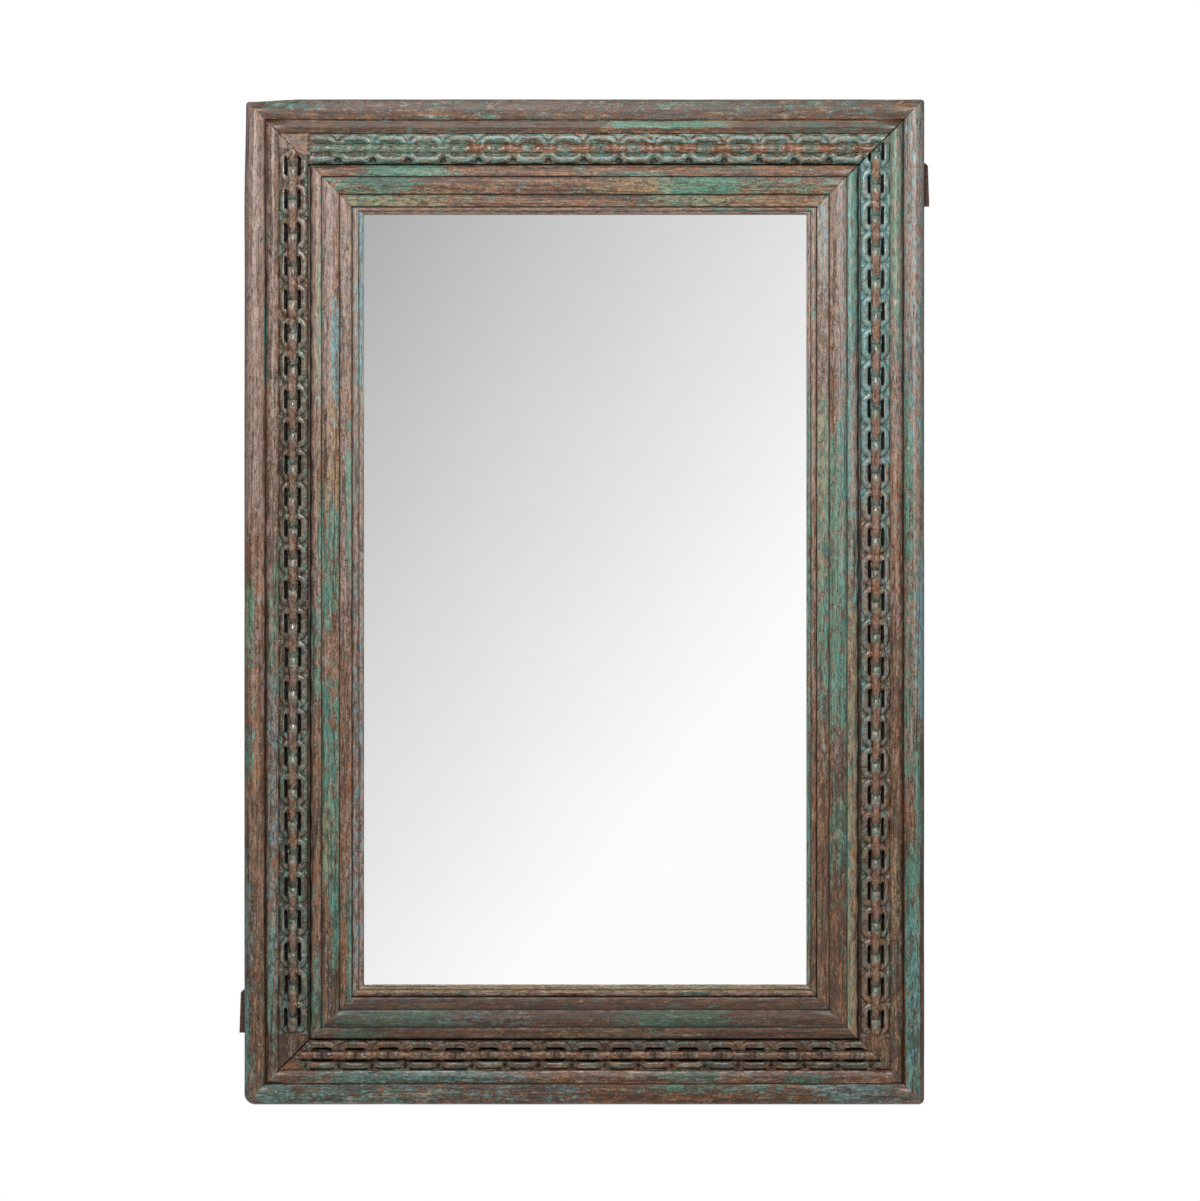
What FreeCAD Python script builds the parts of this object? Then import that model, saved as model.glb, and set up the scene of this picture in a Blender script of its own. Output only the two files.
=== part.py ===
"""A carved and painted wall mirror in an old timber frame.

Every frame member is drawn in the same local axes: x runs inward from the frame's outer
edge, y runs forward from the wall, z runs along the member. It is then turned into place.
In the finished part +X is right, -Y is the front and +Z is up. The origin lies on the
wall plane, at the middle of the frame's width and of the upper batten's back.
"""

import FreeCAD, Part
import Sketcher
import math
import os
import re
from FreeCAD import Placement, Rotation, Vector

SIZES = [
    # the whole frame
    ("frame_width", 790),
    ("frame_height", 1168),
    # widths of the bands, from the outer edge to the glass
    ("roll_width", 23.5),
    ("groove_width", 2),
    ("torus_width", 14.5),
    ("chain_width", 35.2),
    ("chain_play", 0.8),
    ("outer_fascia_width", 14),
    ("middle_fascia_width", 20.5),
    ("inner_fascia_width", 14),
    ("slip_width", 12.5),
    # heights of the outer frame, forward of its back
    ("base_thickness", 22),
    ("side_height", 33),
    ("roll_rise", 8),
    ("arris_height", 42.5),
    ("groove_height", 38.5),
    ("torus_foot_height", 37),
    ("torus_rise", 5),
    # the carved chain, heights forward of its seat
    ("chain_ground", 15),
    ("chain_pocket_depth", 7),
    ("link_wire_radius", 3.5),
    ("link_wire_lift", 1),
    ("link_width", 32.4),
    ("link_gap", 1.4),
    ("link_corner_radius", 7),
    ("slot_margin", 0.4),
    ("slot_corner_radius", 1.6),
    ("bar_radius", 5.4),
    ("bar_lift", 0.8),
    ("bar_gap", 1),
    ("stile_pitch", 37.8),
    ("top_pitch", 40.8),
    ("bottom_pitch", 38.7),
    # the inner moulding, heights forward of its seat
    ("quirk_height", 14),
    ("outer_fascia_height", 21),
    ("outer_fascia_round", 10.5),
    ("outer_fascia_rise", 2.4),
    ("outer_fascia_fall", 1),
    ("middle_fascia_height", 16.5),
    ("middle_fascia_fall", 3.5),
    ("middle_fascia_rise", 2.4),
    ("inner_fascia_height", 10),
    ("inner_fascia_fall", 1.5),
    # the slip, glass and backing board
    ("slip_outer_height", 15),
    ("slip_inner_height", 11),
    ("slip_rise", 2),
    ("glass_thickness", 5),
    ("glass_overlap", 10),
    ("board_thickness", 6),
    ("board_lip", 12),
    ("board_play", 1),
    # the loose tenons in the mitres
    ("tenon_length", 60),
    ("tenon_width", 44),
    ("tenon_thickness", 8),
    ("tenon_centre", 52),
    ("tenon_play", 0.2),
    # the battens on the back
    ("batten_thickness", 19),
    ("batten_width", 50),
    ("batten_overhang", 7),
    ("batten_skew", 1.6),
    ("batten_break", 3),
    ("batten_drop", 98),
    ("batten_lift", 107),
    # screws and pins
    ("batten_screw_radius", 2.4),
    ("batten_screw_head_radius", 4.6),
    ("batten_screw_head", 3),
    ("batten_screw_length", 38),
    ("batten_screw_side", 42),
    ("board_screw_radius", 1.5),
    ("board_screw_head_radius", 3),
    ("board_screw_head", 1.8),
    ("board_screw_length", 16),
    ("board_screw_margin", 6),
    ("board_screw_end", 90),
    ("pin_radius", 0.9),
    ("pin_bite", 11),
    ("pin_sink", 1.5),
    ("chain_pin_inset", 3),
    ("chain_pin_back", 2.6),
    ("moulding_pin_end", 160),
    ("hole_play", 0.06),
    # the hanging straps and rings
    ("strap_drop", 235),
    ("strap_inset", 61),
    ("strap_width", 15.5),
    ("strap_length", 56),
    ("strap_sheet", 1.6),
    ("ring_wire_radius", 2),
    ("ring_play", 0.35),
    ("ring_half_width", 11),
    ("ring_length", 26),
    ("ring_foot_radius", 3),
    ("strap_screw_radius", 1.8),
    ("strap_screw_head_radius", 3.6),
    ("strap_screw_head", 2),
    ("strap_screw_length", 20),
    ("strap_screw_end", 8),
    ("strap_screw_step", 14),
]

doc = FreeCAD.newDocument("jharokha_mirror")
sheet = doc.addObject("Spreadsheet::Sheet", "Sizes")
for row, (alias, number) in enumerate(SIZES, start=1):
    sheet.set(f"A{row}", alias)
    sheet.set(f"B{row}", str(number))
    sheet.setAlias(f"B{row}", alias)
doc.recompute()

ALIASES = {alias for alias, number in SIZES}
WORD = re.compile(r"[a-z_]+")


def cells(text):
    """The expression with each alias written as a cell of the sheet."""
    return WORD.sub(lambda m: f"Sizes.{m[0]}" if m[0] in ALIASES else m[0], text)


def size(text):
    """The expression's value in millimetres."""
    return float(sheet.evalExpression(cells(text)))


def bind(thing, prop, text):
    """Ties a property to an expression of the sheet's cells."""
    thing.setExpression(prop, cells(text))


# Stations across the frame, from the outer edge inward
ARRIS_AT = "roll_width"
GROOVE_AT = "(roll_width + groove_width)"
CHAIN_AT = "(roll_width + groove_width + torus_width)"
CHAIN_MIDDLE = f"({CHAIN_AT} + chain_width / 2)"
INNER_AT = f"({CHAIN_AT} + chain_width + chain_play)"
MIDDLE_AT = f"({INNER_AT} + outer_fascia_width)"
LAST_AT = f"({MIDDLE_AT} + middle_fascia_width)"
SLIP_AT = f"({LAST_AT} + inner_fascia_width)"
SIGHT_AT = f"({SLIP_AT} + slip_width)"
GLASS_AT = f"({SIGHT_AT} - glass_overlap)"
LIP_AT = f"({SLIP_AT} - board_lip)"
BOARD_AT = f"({LIP_AT} + board_play)"

# Stations forward from the wall
BACK = "batten_thickness"
SEAT = "(batten_thickness + base_thickness)"
GLASS_BACK = "(batten_thickness + board_thickness)"
GLASS_FRONT = "(batten_thickness + board_thickness + glass_thickness)"

# Heights of the finished part
TOP = "batten_drop"
BOTTOM = "(batten_drop - frame_height)"
MIDDLE = "(batten_drop - frame_height / 2)"
LOWER_BATTEN = f"({BOTTOM} + batten_lift)"

# For each side: the axis of the half turn that brings a member there, its outer edge's
# middle, and its full length
SIDES = {
    "left": ((1, 0, 0), ("-frame_width / 2", MIDDLE), "frame_height"),
    "right": ((0, 0, 1), ("frame_width / 2", MIDDLE), "frame_height"),
    "top": ((1, 0, -1), ("0", TOP), "frame_width"),
    "bottom": ((1, 0, 1), ("0", BOTTOM), "frame_width"),
}


def plane_of(body, role):
    """The body's own origin plane with this role."""
    return next(f for f in body.Origin.OriginFeatures if f.Role == role)


def edge_of(start, end, rise):
    """A line, or an arc that rises to the left of the way from start to end."""
    if rise is None:
        return Part.LineSegment(start, end), (1, 2)
    way = end - start
    radius = way.Length**2 / (8 * rise) + rise / 2
    left = Vector(-way.y, way.x, 0).normalize()
    centre = (start + end) * 0.5 + left * (rise - radius)
    angles = [math.atan2(p.y - centre.y, p.x - centre.x) for p in (end, start)]
    circle = Part.Circle(centre, Vector(0, 0, 1), radius)
    return Part.ArcOfCircle(circle, *angles), (2, 1)


def draw(sketch, corners):
    """Adds a closed outline whose corners and arcs are all tied to the sheet.

    A corner is (x, y) or (x, y, rise), where rise belongs to the arc that leaves it.
    """
    corners = [(*corner, None)[:3] for corner in corners]
    spots = [Vector(size(x), size(y), 0) for x, y, rise in corners]
    edges = []
    for index, (x, y, rise) in enumerate(corners):
        following = (index + 1) % len(corners)
        high = None if rise is None else size(rise)
        curve, ends = edge_of(spots[index], spots[following], high)
        edges.append((sketch.addGeometry(curve), ends))
    for index, (x, y, rise) in enumerate(corners):
        following = (index + 1) % len(corners)
        edge, (start, end) = edges[index]
        after, (after_start, after_end) = edges[following]
        sketch.addConstraint(Sketcher.Constraint("Coincident", edge, end, after, after_start))
        for kind, text, axis in (("DistanceX", x, -2), ("DistanceY", y, -1)):
            if text == "0":
                sketch.addConstraint(Sketcher.Constraint("PointOnObject", edge, start, axis))
                continue
            rule = Sketcher.Constraint(kind, -1, 1, edge, start, size(text))
            bind(sketch, f"Constraints[{sketch.addConstraint(rule)}]", text)
        if rise is not None:
            next_x, next_y, next_rise = corners[following]
            chord = f"((({next_x}) - ({x}))^2 + (({next_y}) - ({y}))^2)"
            text = f"{chord} / (8 * ({rise})) + ({rise}) / 2"
            rule = Sketcher.Constraint("Radius", edge, size(text))
            bind(sketch, f"Constraints[{sketch.addConstraint(rule)}]", text)


def sketch_on(body, name, role, outlines, shift=("0", "0", "0")):
    """A sketch on one of the body's origin planes, shifted in the plane's own axes."""
    sketch = body.newObject("Sketcher::SketchObject", name)
    sketch.AttachmentSupport = [(plane_of(body, role), "")]
    sketch.MapMode = "FlatFace"
    for axis, text in zip("xyz", shift):
        if text != "0":
            bind(sketch, f"AttachmentOffset.Base.{axis}", text)
    for corners in outlines:
        draw(sketch, corners)
    return sketch


def pad(body, name, sketch, length, both_ways=False):
    """Material padded from a sketch."""
    feature = body.newObject("PartDesign::Pad", name)
    feature.Profile = sketch
    feature.SideType = "Symmetric" if both_ways else "One side"
    bind(feature, "Length", length)
    return feature


def mitre(body, length):
    """Cuts both ends of a member back at 45 degrees, on the frame's corner lines."""
    reach = f"({SIGHT_AT} + base_thickness)"
    half = f"({length} / 2)"
    wedges = [
        [("0", half), (reach, half), (reach, f"{half} - {reach}")],
        [("0", f"-{half}"), (reach, f"{reach} - {half}"), (reach, f"-{half}")],
    ]
    sketch = sketch_on(body, "mitre_lines", "XZ_Plane", wedges)
    cut = body.newObject("PartDesign::Pocket", "mitres")
    cut.Profile = sketch
    cut.Type = "ThroughAll"
    cut.SideType = "Symmetric"
    return cut


def turn_to(thing, side):
    """Places a member on its side of the frame."""
    axis, (across, upward), length = SIDES[side]
    thing.Placement = Placement(Vector(), Rotation(Vector(*axis), 180))
    bind(thing, "Placement.Base.x", across)
    bind(thing, "Placement.Base.z", upward)


def member(name, side, corners):
    """A straight member with this section, mitred at both ends."""
    length = SIDES[side][2]
    body = doc.addObject("PartDesign::Body", name)
    section = sketch_on(body, "section", "XY_Plane", [corners])
    pad(body, "length", section, length, both_ways=True)
    turn_to(body, side)
    return body


BASE_SECTION = [
    ("0", BACK),
    ("0", f"{BACK} + side_height", "roll_rise"),
    (ARRIS_AT, f"{BACK} + arris_height"),
    (GROOVE_AT, f"{BACK} + groove_height", "torus_rise"),
    (CHAIN_AT, f"{BACK} + torus_foot_height"),
    (CHAIN_AT, SEAT),
    (SLIP_AT, SEAT),
    (SLIP_AT, GLASS_BACK),
    (LIP_AT, GLASS_BACK),
    (LIP_AT, BACK),
]
INNER_SECTION = [
    (INNER_AT, SEAT),
    (INNER_AT, f"{SEAT} + quirk_height", "outer_fascia_rise"),
    (f"{INNER_AT} + outer_fascia_round", f"{SEAT} + outer_fascia_height"),
    (MIDDLE_AT, f"{SEAT} + outer_fascia_height - outer_fascia_fall"),
    (MIDDLE_AT, f"{SEAT} + middle_fascia_height", "middle_fascia_rise"),
    (LAST_AT, f"{SEAT} + middle_fascia_height - middle_fascia_fall"),
    (LAST_AT, f"{SEAT} + inner_fascia_height"),
    (SLIP_AT, f"{SEAT} + inner_fascia_height - inner_fascia_fall"),
    (SLIP_AT, SEAT),
]
SLIP_SECTION = [
    (SLIP_AT, GLASS_FRONT),
    (SLIP_AT, f"{GLASS_FRONT} + slip_outer_height", "slip_rise"),
    (SIGHT_AT, f"{GLASS_FRONT} + slip_inner_height"),
    (SIGHT_AT, GLASS_FRONT),
]
CHAIN_SECTION = [
    (CHAIN_AT, SEAT),
    (CHAIN_AT, f"{SEAT} + chain_ground"),
    (f"{CHAIN_AT} + chain_width", f"{SEAT} + chain_ground"),
    (f"{CHAIN_AT} + chain_width", SEAT),
]


def mitred_member(name, side, corners):
    """A moulding with this section, ready to lay in the frame."""
    body = member(name, side, corners)
    mitre(body, SIDES[side][2])
    return body


def ring_outline(half_x, half_y, radius, middle="0"):
    """A rectangle with rounded corners about (middle, 0)."""
    bend = f"({radius} * (1 - sqrt(0.5)))"
    low, high = f"({middle} - {half_x})", f"({middle} + {half_x})"
    end = f"({half_y} - {radius})"
    return [
        (low, f"-{end}"),
        (low, end, bend),
        (f"({low} + {radius})", half_y),
        (f"({high} - {radius})", half_y, bend),
        (high, end),
        (high, f"-{end}", bend),
        (f"({high} - {radius})", f"-{half_y}"),
        (f"({low} + {radius})", f"-{half_y}", bend),
    ]


def round_section(body, name, role, radius, shift):
    """A circle for a wire or rod, on an origin plane shifted in its own axes."""
    sketch = sketch_on(body, name, role, [], shift)
    circle = sketch.addGeometry(Part.Circle(Vector(), Vector(0, 0, 1), size(radius)))
    sketch.addConstraint(Sketcher.Constraint("Coincident", circle, 3, -1, 1))
    rule = Sketcher.Constraint("Radius", circle, size(radius))
    bind(sketch, f"Constraints[{sketch.addConstraint(rule)}]", radius)
    return sketch


GROUND = f"({SEAT} + chain_ground)"
LINK_HALF_WIDTH = "(link_width / 2 - link_wire_radius)"


def link_cell(name, pitch):
    """One repeat of the carved chain, in a member's local axes, centred on a face-on link.

    The face-on link is a bent round wire half sunk in the ground. The edge-on links are
    rods along the middle that run from link centre to link centre. A deep slot on each
    side of the rod opens the inside of the link.
    """
    body = doc.addObject("PartDesign::Body", name)
    section = sketch_on(body, "section", "XY_Plane", [CHAIN_SECTION])
    pad(body, "strip", section, pitch, both_ways=True)
    half_length = f"(({pitch} - link_gap) / 2 - link_wire_radius)"
    inside = f"({LINK_HALF_WIDTH} - link_wire_radius - slot_margin)"
    slot_half = f"(({inside} - bar_radius) / 2)"
    slot_end = f"({half_length} - link_wire_radius - slot_margin)"
    slot_at = f"(({inside} + bar_radius) / 2)"
    slots = [
        ring_outline(slot_half, slot_end, "slot_corner_radius", where)
        for where in (slot_at, f"(-{slot_at})")
    ]
    above = f"-{GROUND}"
    outline = sketch_on(body, "slot_outline", "XZ_Plane", slots, (CHAIN_MIDDLE, "0", above))
    slot = body.newObject("PartDesign::Pocket", "slots")
    slot.Profile = outline
    slot.Reversed = True
    bind(slot, "Length", "chain_pocket_depth")
    level = f"{GROUND} + link_wire_lift"
    bend = ring_outline(LINK_HALF_WIDTH, half_length, "link_corner_radius")
    path = sketch_on(body, "link_path", "XZ_Plane", [bend], (CHAIN_MIDDLE, "0", f"-({level})"))
    edge = f"{CHAIN_MIDDLE} - {LINK_HALF_WIDTH}"
    wire = round_section(body, "link_wire", "XY_Plane", "link_wire_radius", (edge, level, "0"))
    link = body.newObject("PartDesign::AdditivePipe", "link")
    link.Profile = wire
    link.Spine = (path, [])
    stubs = []
    for way in ("", "-"):
        near, far = f"{way}(bar_gap / 2)", f"{way}({pitch} / 2)"
        full = f"{way}(bar_gap / 2 + bar_radius / 2)"
        stub = [("0", near), ("0", far), ("bar_radius", far), ("bar_radius", full)]
        stubs.append([*stub, ("bar_radius * 0.7", near)])
    centre = (CHAIN_MIDDLE, "0", f"-({GROUND} + bar_lift)")
    profile = sketch_on(body, "rod_profile", "XZ_Plane", stubs, centre)
    rod = body.newObject("PartDesign::Revolution", "rods")
    rod.Profile = profile
    rod.ReferenceAxis = (profile, ["V_Axis"])
    rod.Angle = 360
    return body


def mitre_wedge(side, way):
    """The waste beyond the mitre at one end of a member, in its local axes."""
    half, reach = size(f"{SIDES[side][2]} / 2"), size(f"{SIGHT_AT} + base_thickness")
    spots = [(0, half), (reach, half), (reach, half - reach), (0, half)]
    wire = Part.makePolygon([Vector(x, 0, way * z) for x, z in spots])
    return Part.Face(wire).extrude(Vector(0, size(f"2 * {GROUND}"), 0))


def moved(shape, along):
    """The shape moved along its member."""
    copy = shape.copy()
    copy.translate(Vector(0, 0, along))
    return copy


def upright(x, z, low, high, radius, far_radius=None):
    """A round rod, or a cone, that runs forward at (x, z) in a member's local axes."""
    start, way = Vector(x, low, z), Vector(0, 1, 0)
    if far_radius is None:
        return Part.makeCylinder(radius, high - low, start, way)
    return Part.makeCone(radius, far_radius, high - low, start, way)


# For each side: the pitch of its links, how far from a link, in pitches, its middle falls, and
# the end, as a sign along the member, where the strip was left plain past the last link
CHAINS = {
    "left": ("stile_pitch", -0.27, 1),
    "right": ("stile_pitch", 0, -1),
    "top": ("top_pitch", 0.5, 1),
    "bottom": ("bottom_pitch", 0.11, -1),
}
PINNED = (0.12, 0.38, 0.62, 0.88)


def chain_layout(side):
    """The pitch, the centres of the whole links, of the cut links and of the pinned ones.

    The links are counted out from the member's middle to its mitres, so a longer member
    carries more of them.
    """
    pitch, shift, plain_end = CHAINS[side]
    step = size(pitch)
    outer = size(f"{SIDES[side][2]} / 2 - {CHAIN_AT}")
    inner = outer - size("chain_width")
    most = math.ceil(outer / step) + 1
    centres = [(index + shift) * step for index in range(-most, most + 1)]
    whole = [z for z in centres if abs(z) + step / 2 <= inner]
    cut = [z for z in centres if z not in whole and abs(z) - step / 2 < outer]
    pinned = [whole[round(part * (len(whole) - 1))] for part in PINNED]
    return step, whole, cut, pinned


def carved_strip(cell, side):
    """A chain strip in local axes: cells end to end, the last ones cut to the mitres."""
    step, whole, cut, pinned = chain_layout(side)
    seat, ground = size(SEAT), size(GROUND)
    radius = size("pin_radius + hole_play")
    spot = size(f"{CHAIN_AT} + chain_pin_inset"), step / 2 - size("chain_pin_back")
    bored = cell.cut(upright(*spot, seat, ground, radius))
    pieces = [moved(bored if z in pinned else cell, z) for z in whole]
    corner = Vector(size(CHAIN_AT), seat, -step / 2)
    blank = Part.makeBox(size("chain_width"), size("chain_ground"), step, corner)
    inner = size(f"{SIDES[side][2]} / 2 - {CHAIN_AT} - chain_width")
    for z in cut:
        way = 1 if z > 0 else -1
        end = blank if way == CHAINS[side][2] and abs(z) > inner else cell
        pieces.append(moved(end, z).cut(mitre_wedge(side, way)))
    return pieces[0].multiFuse(pieces[1:])


def to_side(shape, side):
    """A shape in a member's local axes, brought to its side of the frame."""
    axis, (across, upward), length = SIDES[side]
    placed = shape.copy()
    placed.rotate(Vector(), Vector(*axis), 180)
    placed.translate(Vector(size(across), 0, size(upward)))
    return placed


def hold(name, shape):
    """A document object for a shape that is worked out here."""
    feature = doc.addObject("Part::Feature", name)
    feature.Shape = shape
    return feature


def cut_away(name, body, waste):
    """The body less a list of shapes."""
    tool = hold(f"{name}_waste", Part.makeCompound(waste))
    cut = doc.addObject("Part::Cut", f"{name}_cut")
    cut.Base = body
    cut.Tool = tool
    cut.Label = name
    return cut


def rod(x, z, low, high, radius, far_radius=None):
    """A round rod, or a cone, at (x, z) of the finished part, forward from the wall."""
    start, way = Vector(x, -low, z), Vector(0, -1, 0)
    if far_radius is None:
        return Part.makeCylinder(radius, high - low, start, way)
    return Part.makeCone(radius, far_radius, high - low, start, way)


parts = {}

# Screws: for each kind, where they stand, how deep the head's face lies, and their sizes
half_width, half_height = size("frame_width / 2"), size("frame_height / 2")
mid_z, back = size(MIDDLE), size(BACK)
batten_end = half_width - size("batten_screw_side")
batten_spots = [
    (way * across, z)
    for z in (0.0, size(LOWER_BATTEN))
    for across in (batten_end, batten_end / 2)
    for way in (-1, 1)
]
board_edge = half_width - size(f"{BOARD_AT} + board_screw_margin")
board_end = half_height - size(f"{BOARD_AT} + board_screw_end")
board_spots = [
    (way * board_edge, mid_z + up * span)
    for span in (board_end / 3, board_end)
    for up in (-1, 1)
    for way in (-1, 1)
]
strap_x, strap_z = half_width - size("strap_inset"), size(f"{TOP} - strap_drop")
strap_spots = [
    (way * strap_x, strap_z - size(down))
    for down in ("strap_length - strap_screw_end - strap_screw_step", "strap_length - strap_screw_end")
    for way in (-1, 1)
]


def flat_screw(x, z, kind, play=0.0):
    """A countersunk screw whose head lies flush with the wall side of the batten."""
    shank, head = size(f"{kind}_radius") + play, size(f"{kind}_head_radius") + play
    depth, length = size(f"{kind}_head"), size(f"{kind}_length") + play
    cone = rod(x, z, 0, depth, head, shank)
    return cone.fuse(rod(x, z, depth, length, shank))


def pan_screw(x, z, kind, face):
    """A screw with a low round head that sits on a face this far from the wall."""
    shank, head = size(f"{kind}_radius"), size(f"{kind}_head_radius")
    depth, length = size(f"{kind}_head"), size(f"{kind}_length")
    cap = rod(x, z, face - depth, face, head * 0.7, head)
    return cap.fuse(rod(x, z, face, face + length, shank))


play = size("hole_play")
strap_face = back - size("strap_sheet")
parts["batten_screws"] = Part.makeCompound(
    [flat_screw(x, z, "batten_screw") for x, z in batten_spots]
)
parts["board_screws"] = Part.makeCompound(
    [pan_screw(x, z, "board_screw", back) for x, z in board_spots]
)
parts["hanger_screws"] = Part.makeCompound(
    [pan_screw(x, z, "strap_screw", strap_face) for x, z in strap_spots]
)


def holes(spots, kind, low, play=play):
    """Straight holes for the shanks of a kind of screw, from this far off the wall."""
    radius, length = size(f"{kind}_radius") + play, size(f"{kind}_length") + play
    return [rod(x, z, low, low + length, radius) for x, z in spots]


batten_holes = [flat_screw(x, z, "batten_screw", play) for x, z in batten_spots]
board_holes = holes(board_spots, "board_screw", back)
strap_holes = holes(strap_spots, "strap_screw", strap_face)

# Pins of the applied mouldings, and the holes they leave in the frame below
pin, bite, sink = size("pin_radius"), size("pin_bite"), size("pin_sink")
seat, ground = size(SEAT), size(GROUND)
fascia_middle = size(f"{MIDDLE_AT} + middle_fascia_width / 2")
fascia_level = size(f"{SEAT} + middle_fascia_height - middle_fascia_fall / 2")
chain_pins, moulding_pins, pin_holes, moulding_holes = [], [], {}, {}
for side in SIDES:
    step, whole, cut, pinned = chain_layout(side)
    inset = size(f"{CHAIN_AT} + chain_pin_inset")
    late = step / 2 - size("chain_pin_back")
    spots = [(inset, z + late) for z in pinned]
    far = size(f"{SIDES[side][2]} / 2 - moulding_pin_end")
    others = [(fascia_middle, way * span) for span in (far / 3, far) for way in (-1, 1)]
    low, high = seat - bite, ground - sink
    chain_pins += [to_side(upright(*spot, low, high, pin), side) for spot in spots]
    moulding_pins += [
        to_side(upright(*spot, low, fascia_level - sink, pin), side) for spot in others
    ]
    pin_holes[side] = [
        to_side(upright(*spot, low - play, seat + play, pin + play), side)
        for spot in spots + others
    ]
    moulding_holes[side] = [
        to_side(upright(*spot, seat - play, 2 * ground, pin + play), side) for spot in others
    ]
parts["chain_pins"] = Part.makeCompound(chain_pins)
parts["moulding_pins"] = Part.makeCompound(moulding_pins)

# Loose tenons across the four mitres, with the slots that take them
CORNERS = {
    "top_left": (-1, 1, -45),
    "top_right": (1, 1, 45),
    "bottom_left": (-1, -1, 45),
    "bottom_right": (1, -1, -45),
}


def tenon_box(across, upward, angle, play):
    """A box across a mitre, with the same play on every face."""
    sizes = [size(f"tenon_{way}") + 2 * play for way in ("length", "thickness", "width")]
    box = Part.makeBox(*sizes, Vector(*(-half / 2 for half in sizes)))
    box.rotate(Vector(), Vector(0, 1, 0), angle)
    inset = size("tenon_centre")
    x, z = across * (half_width - inset), mid_z + upward * (half_height - inset)
    box.translate(Vector(x, -size(f"{BACK} + base_thickness / 2"), z))
    return box


slots = []
for corner, where in CORNERS.items():
    parts[f"corner_tenon_{corner}"] = tenon_box(*where, 0)
    slots.append(tenon_box(*where, size("tenon_play")))

finished = {name: hold(name, shape) for name, shape in parts.items()}

# The four sides of the outer frame, the inner mouldings and the slips
waste = slots + batten_holes + board_holes + strap_holes
for side in SIDES:
    kind = "rail" if side in ("top", "bottom") else "stile"
    name = f"outer_{kind}_{side}"
    base = mitred_member(f"{name}_body", side, BASE_SECTION)
    finished[name] = cut_away(name, base, waste + pin_holes[side])
    name = f"inner_moulding_{side}"
    inner = mitred_member(f"{name}_body", side, INNER_SECTION)
    finished[name] = cut_away(name, inner, moulding_holes[side])
    name = f"sight_slip_{side}"
    finished[name] = mitred_member(name, side, SLIP_SECTION)

# The carved chain strips, each set out on its own side
pitches = sorted({pitch for pitch, *rest in CHAINS.values()})
link_cells = {pitch: link_cell(f"link_{pitch}", pitch) for pitch in pitches}
doc.recompute()
for side, (pitch, *rest) in CHAINS.items():
    strip = carved_strip(link_cells[pitch].Shape, side)
    finished[f"chain_strip_{side}"] = hold(f"chain_strip_{side}", to_side(strip, side))


def sheet_body(name, half_x, half_z, low, thickness):
    """A flat rectangular sheet, centred on the frame, this far off the wall."""
    body = doc.addObject("PartDesign::Body", name)
    corners = [
        (f"-{half_x}", f"-{half_z}"),
        (f"-{half_x}", half_z),
        (half_x, half_z),
        (half_x, f"-{half_z}"),
    ]
    outline = sketch_on(body, "outline", "XZ_Plane", [corners], ("0", "0", low))
    pad(body, "sheet", outline, thickness)
    bind(body, "Placement.Base.z", MIDDLE)
    return body


def inside(station):
    """Half the width and half the height of what lies inside a station of the frame."""
    return f"(frame_width / 2 - {station})", f"(frame_height / 2 - {station})"


glass = sheet_body("mirror_glass", *inside(GLASS_AT), GLASS_BACK, "glass_thickness")
board = sheet_body("board_body", *inside(BOARD_AT), BACK, "board_thickness")
finished["mirror_glass"] = glass
finished["backing_board"] = cut_away("backing_board", board, board_holes)


def batten(name, way, level):
    """A batten whose end stands past the frame, sawn askew with its top corner broken."""
    body = doc.addObject("PartDesign::Body", f"{name}_body")
    half, deep = "(frame_width / 2)", "(batten_width / 2)"
    end = f"({half} + batten_overhang - batten_skew)"
    start = f"({half} - batten_overhang)"
    corners = [
        (f"-{start}", f"-{deep}"),
        (f"-{start}", deep),
        (f"{end} - batten_break", deep),
        (end, f"{deep} - batten_break"),
        (f"{end} + batten_skew", f"-{deep}"),
    ]
    if way < 0:
        corners = [(f"-({x})", y) for x, y in reversed(corners)]
    outline = sketch_on(body, "outline", "XZ_Plane", [corners])
    pad(body, "board", outline, "batten_thickness")
    if level != "0":
        bind(body, "Placement.Base.z", level)
    return cut_away(name, body, batten_holes)


finished["back_batten_upper"] = batten("back_batten_upper", 1, "0")
finished["back_batten_lower"] = batten("back_batten_lower", -1, LOWER_BATTEN)

# The hanging straps and rings, drawn about the middle of the ring's straight foot
EYE = "(ring_wire_radius + ring_play)"
BARREL = f"({EYE} + strap_sheet)"


def strap(side, way):
    """A sheet strap rolled into a barrel round the ring's foot."""
    body = doc.addObject("PartDesign::Body", f"hanger_strap_{side}_body")
    barrel = sketch_on(body, "barrel_section", "YZ_Plane", [])
    for radius in (BARREL, EYE):
        circle = barrel.addGeometry(Part.Circle(Vector(), Vector(0, 0, 1), size(radius)))
        barrel.addConstraint(Sketcher.Constraint("Coincident", circle, 3, -1, 1))
        rule = Sketcher.Constraint("Radius", circle, size(radius))
        bind(barrel, f"Constraints[{barrel.addConstraint(rule)}]", radius)
    pad(body, "barrel", barrel, "strap_width", both_ways=True)
    low, high = "-strap_length", f"-({EYE} / 2)"
    corners = [(f"-{EYE}", low), (f"-{BARREL}", low), (f"-{BARREL}", high), (f"-{EYE}", high)]
    plate = sketch_on(body, "plate_section", "YZ_Plane", [corners])
    pad(body, "plate", plate, "strap_width", both_ways=True)
    place_hanger(body, way)
    name = f"hanger_strap_{side}"
    return cut_away(name, body, strap_holes)


def place_hanger(body, way):
    """Sets a hanger's barrel on the back of a stile."""
    bind(body, "Placement.Base.x", f"{way} * (frame_width / 2 - strap_inset)")
    bind(body, "Placement.Base.y", f"{BARREL} - {BACK}")
    bind(body, "Placement.Base.z", f"{TOP} - strap_drop")


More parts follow.
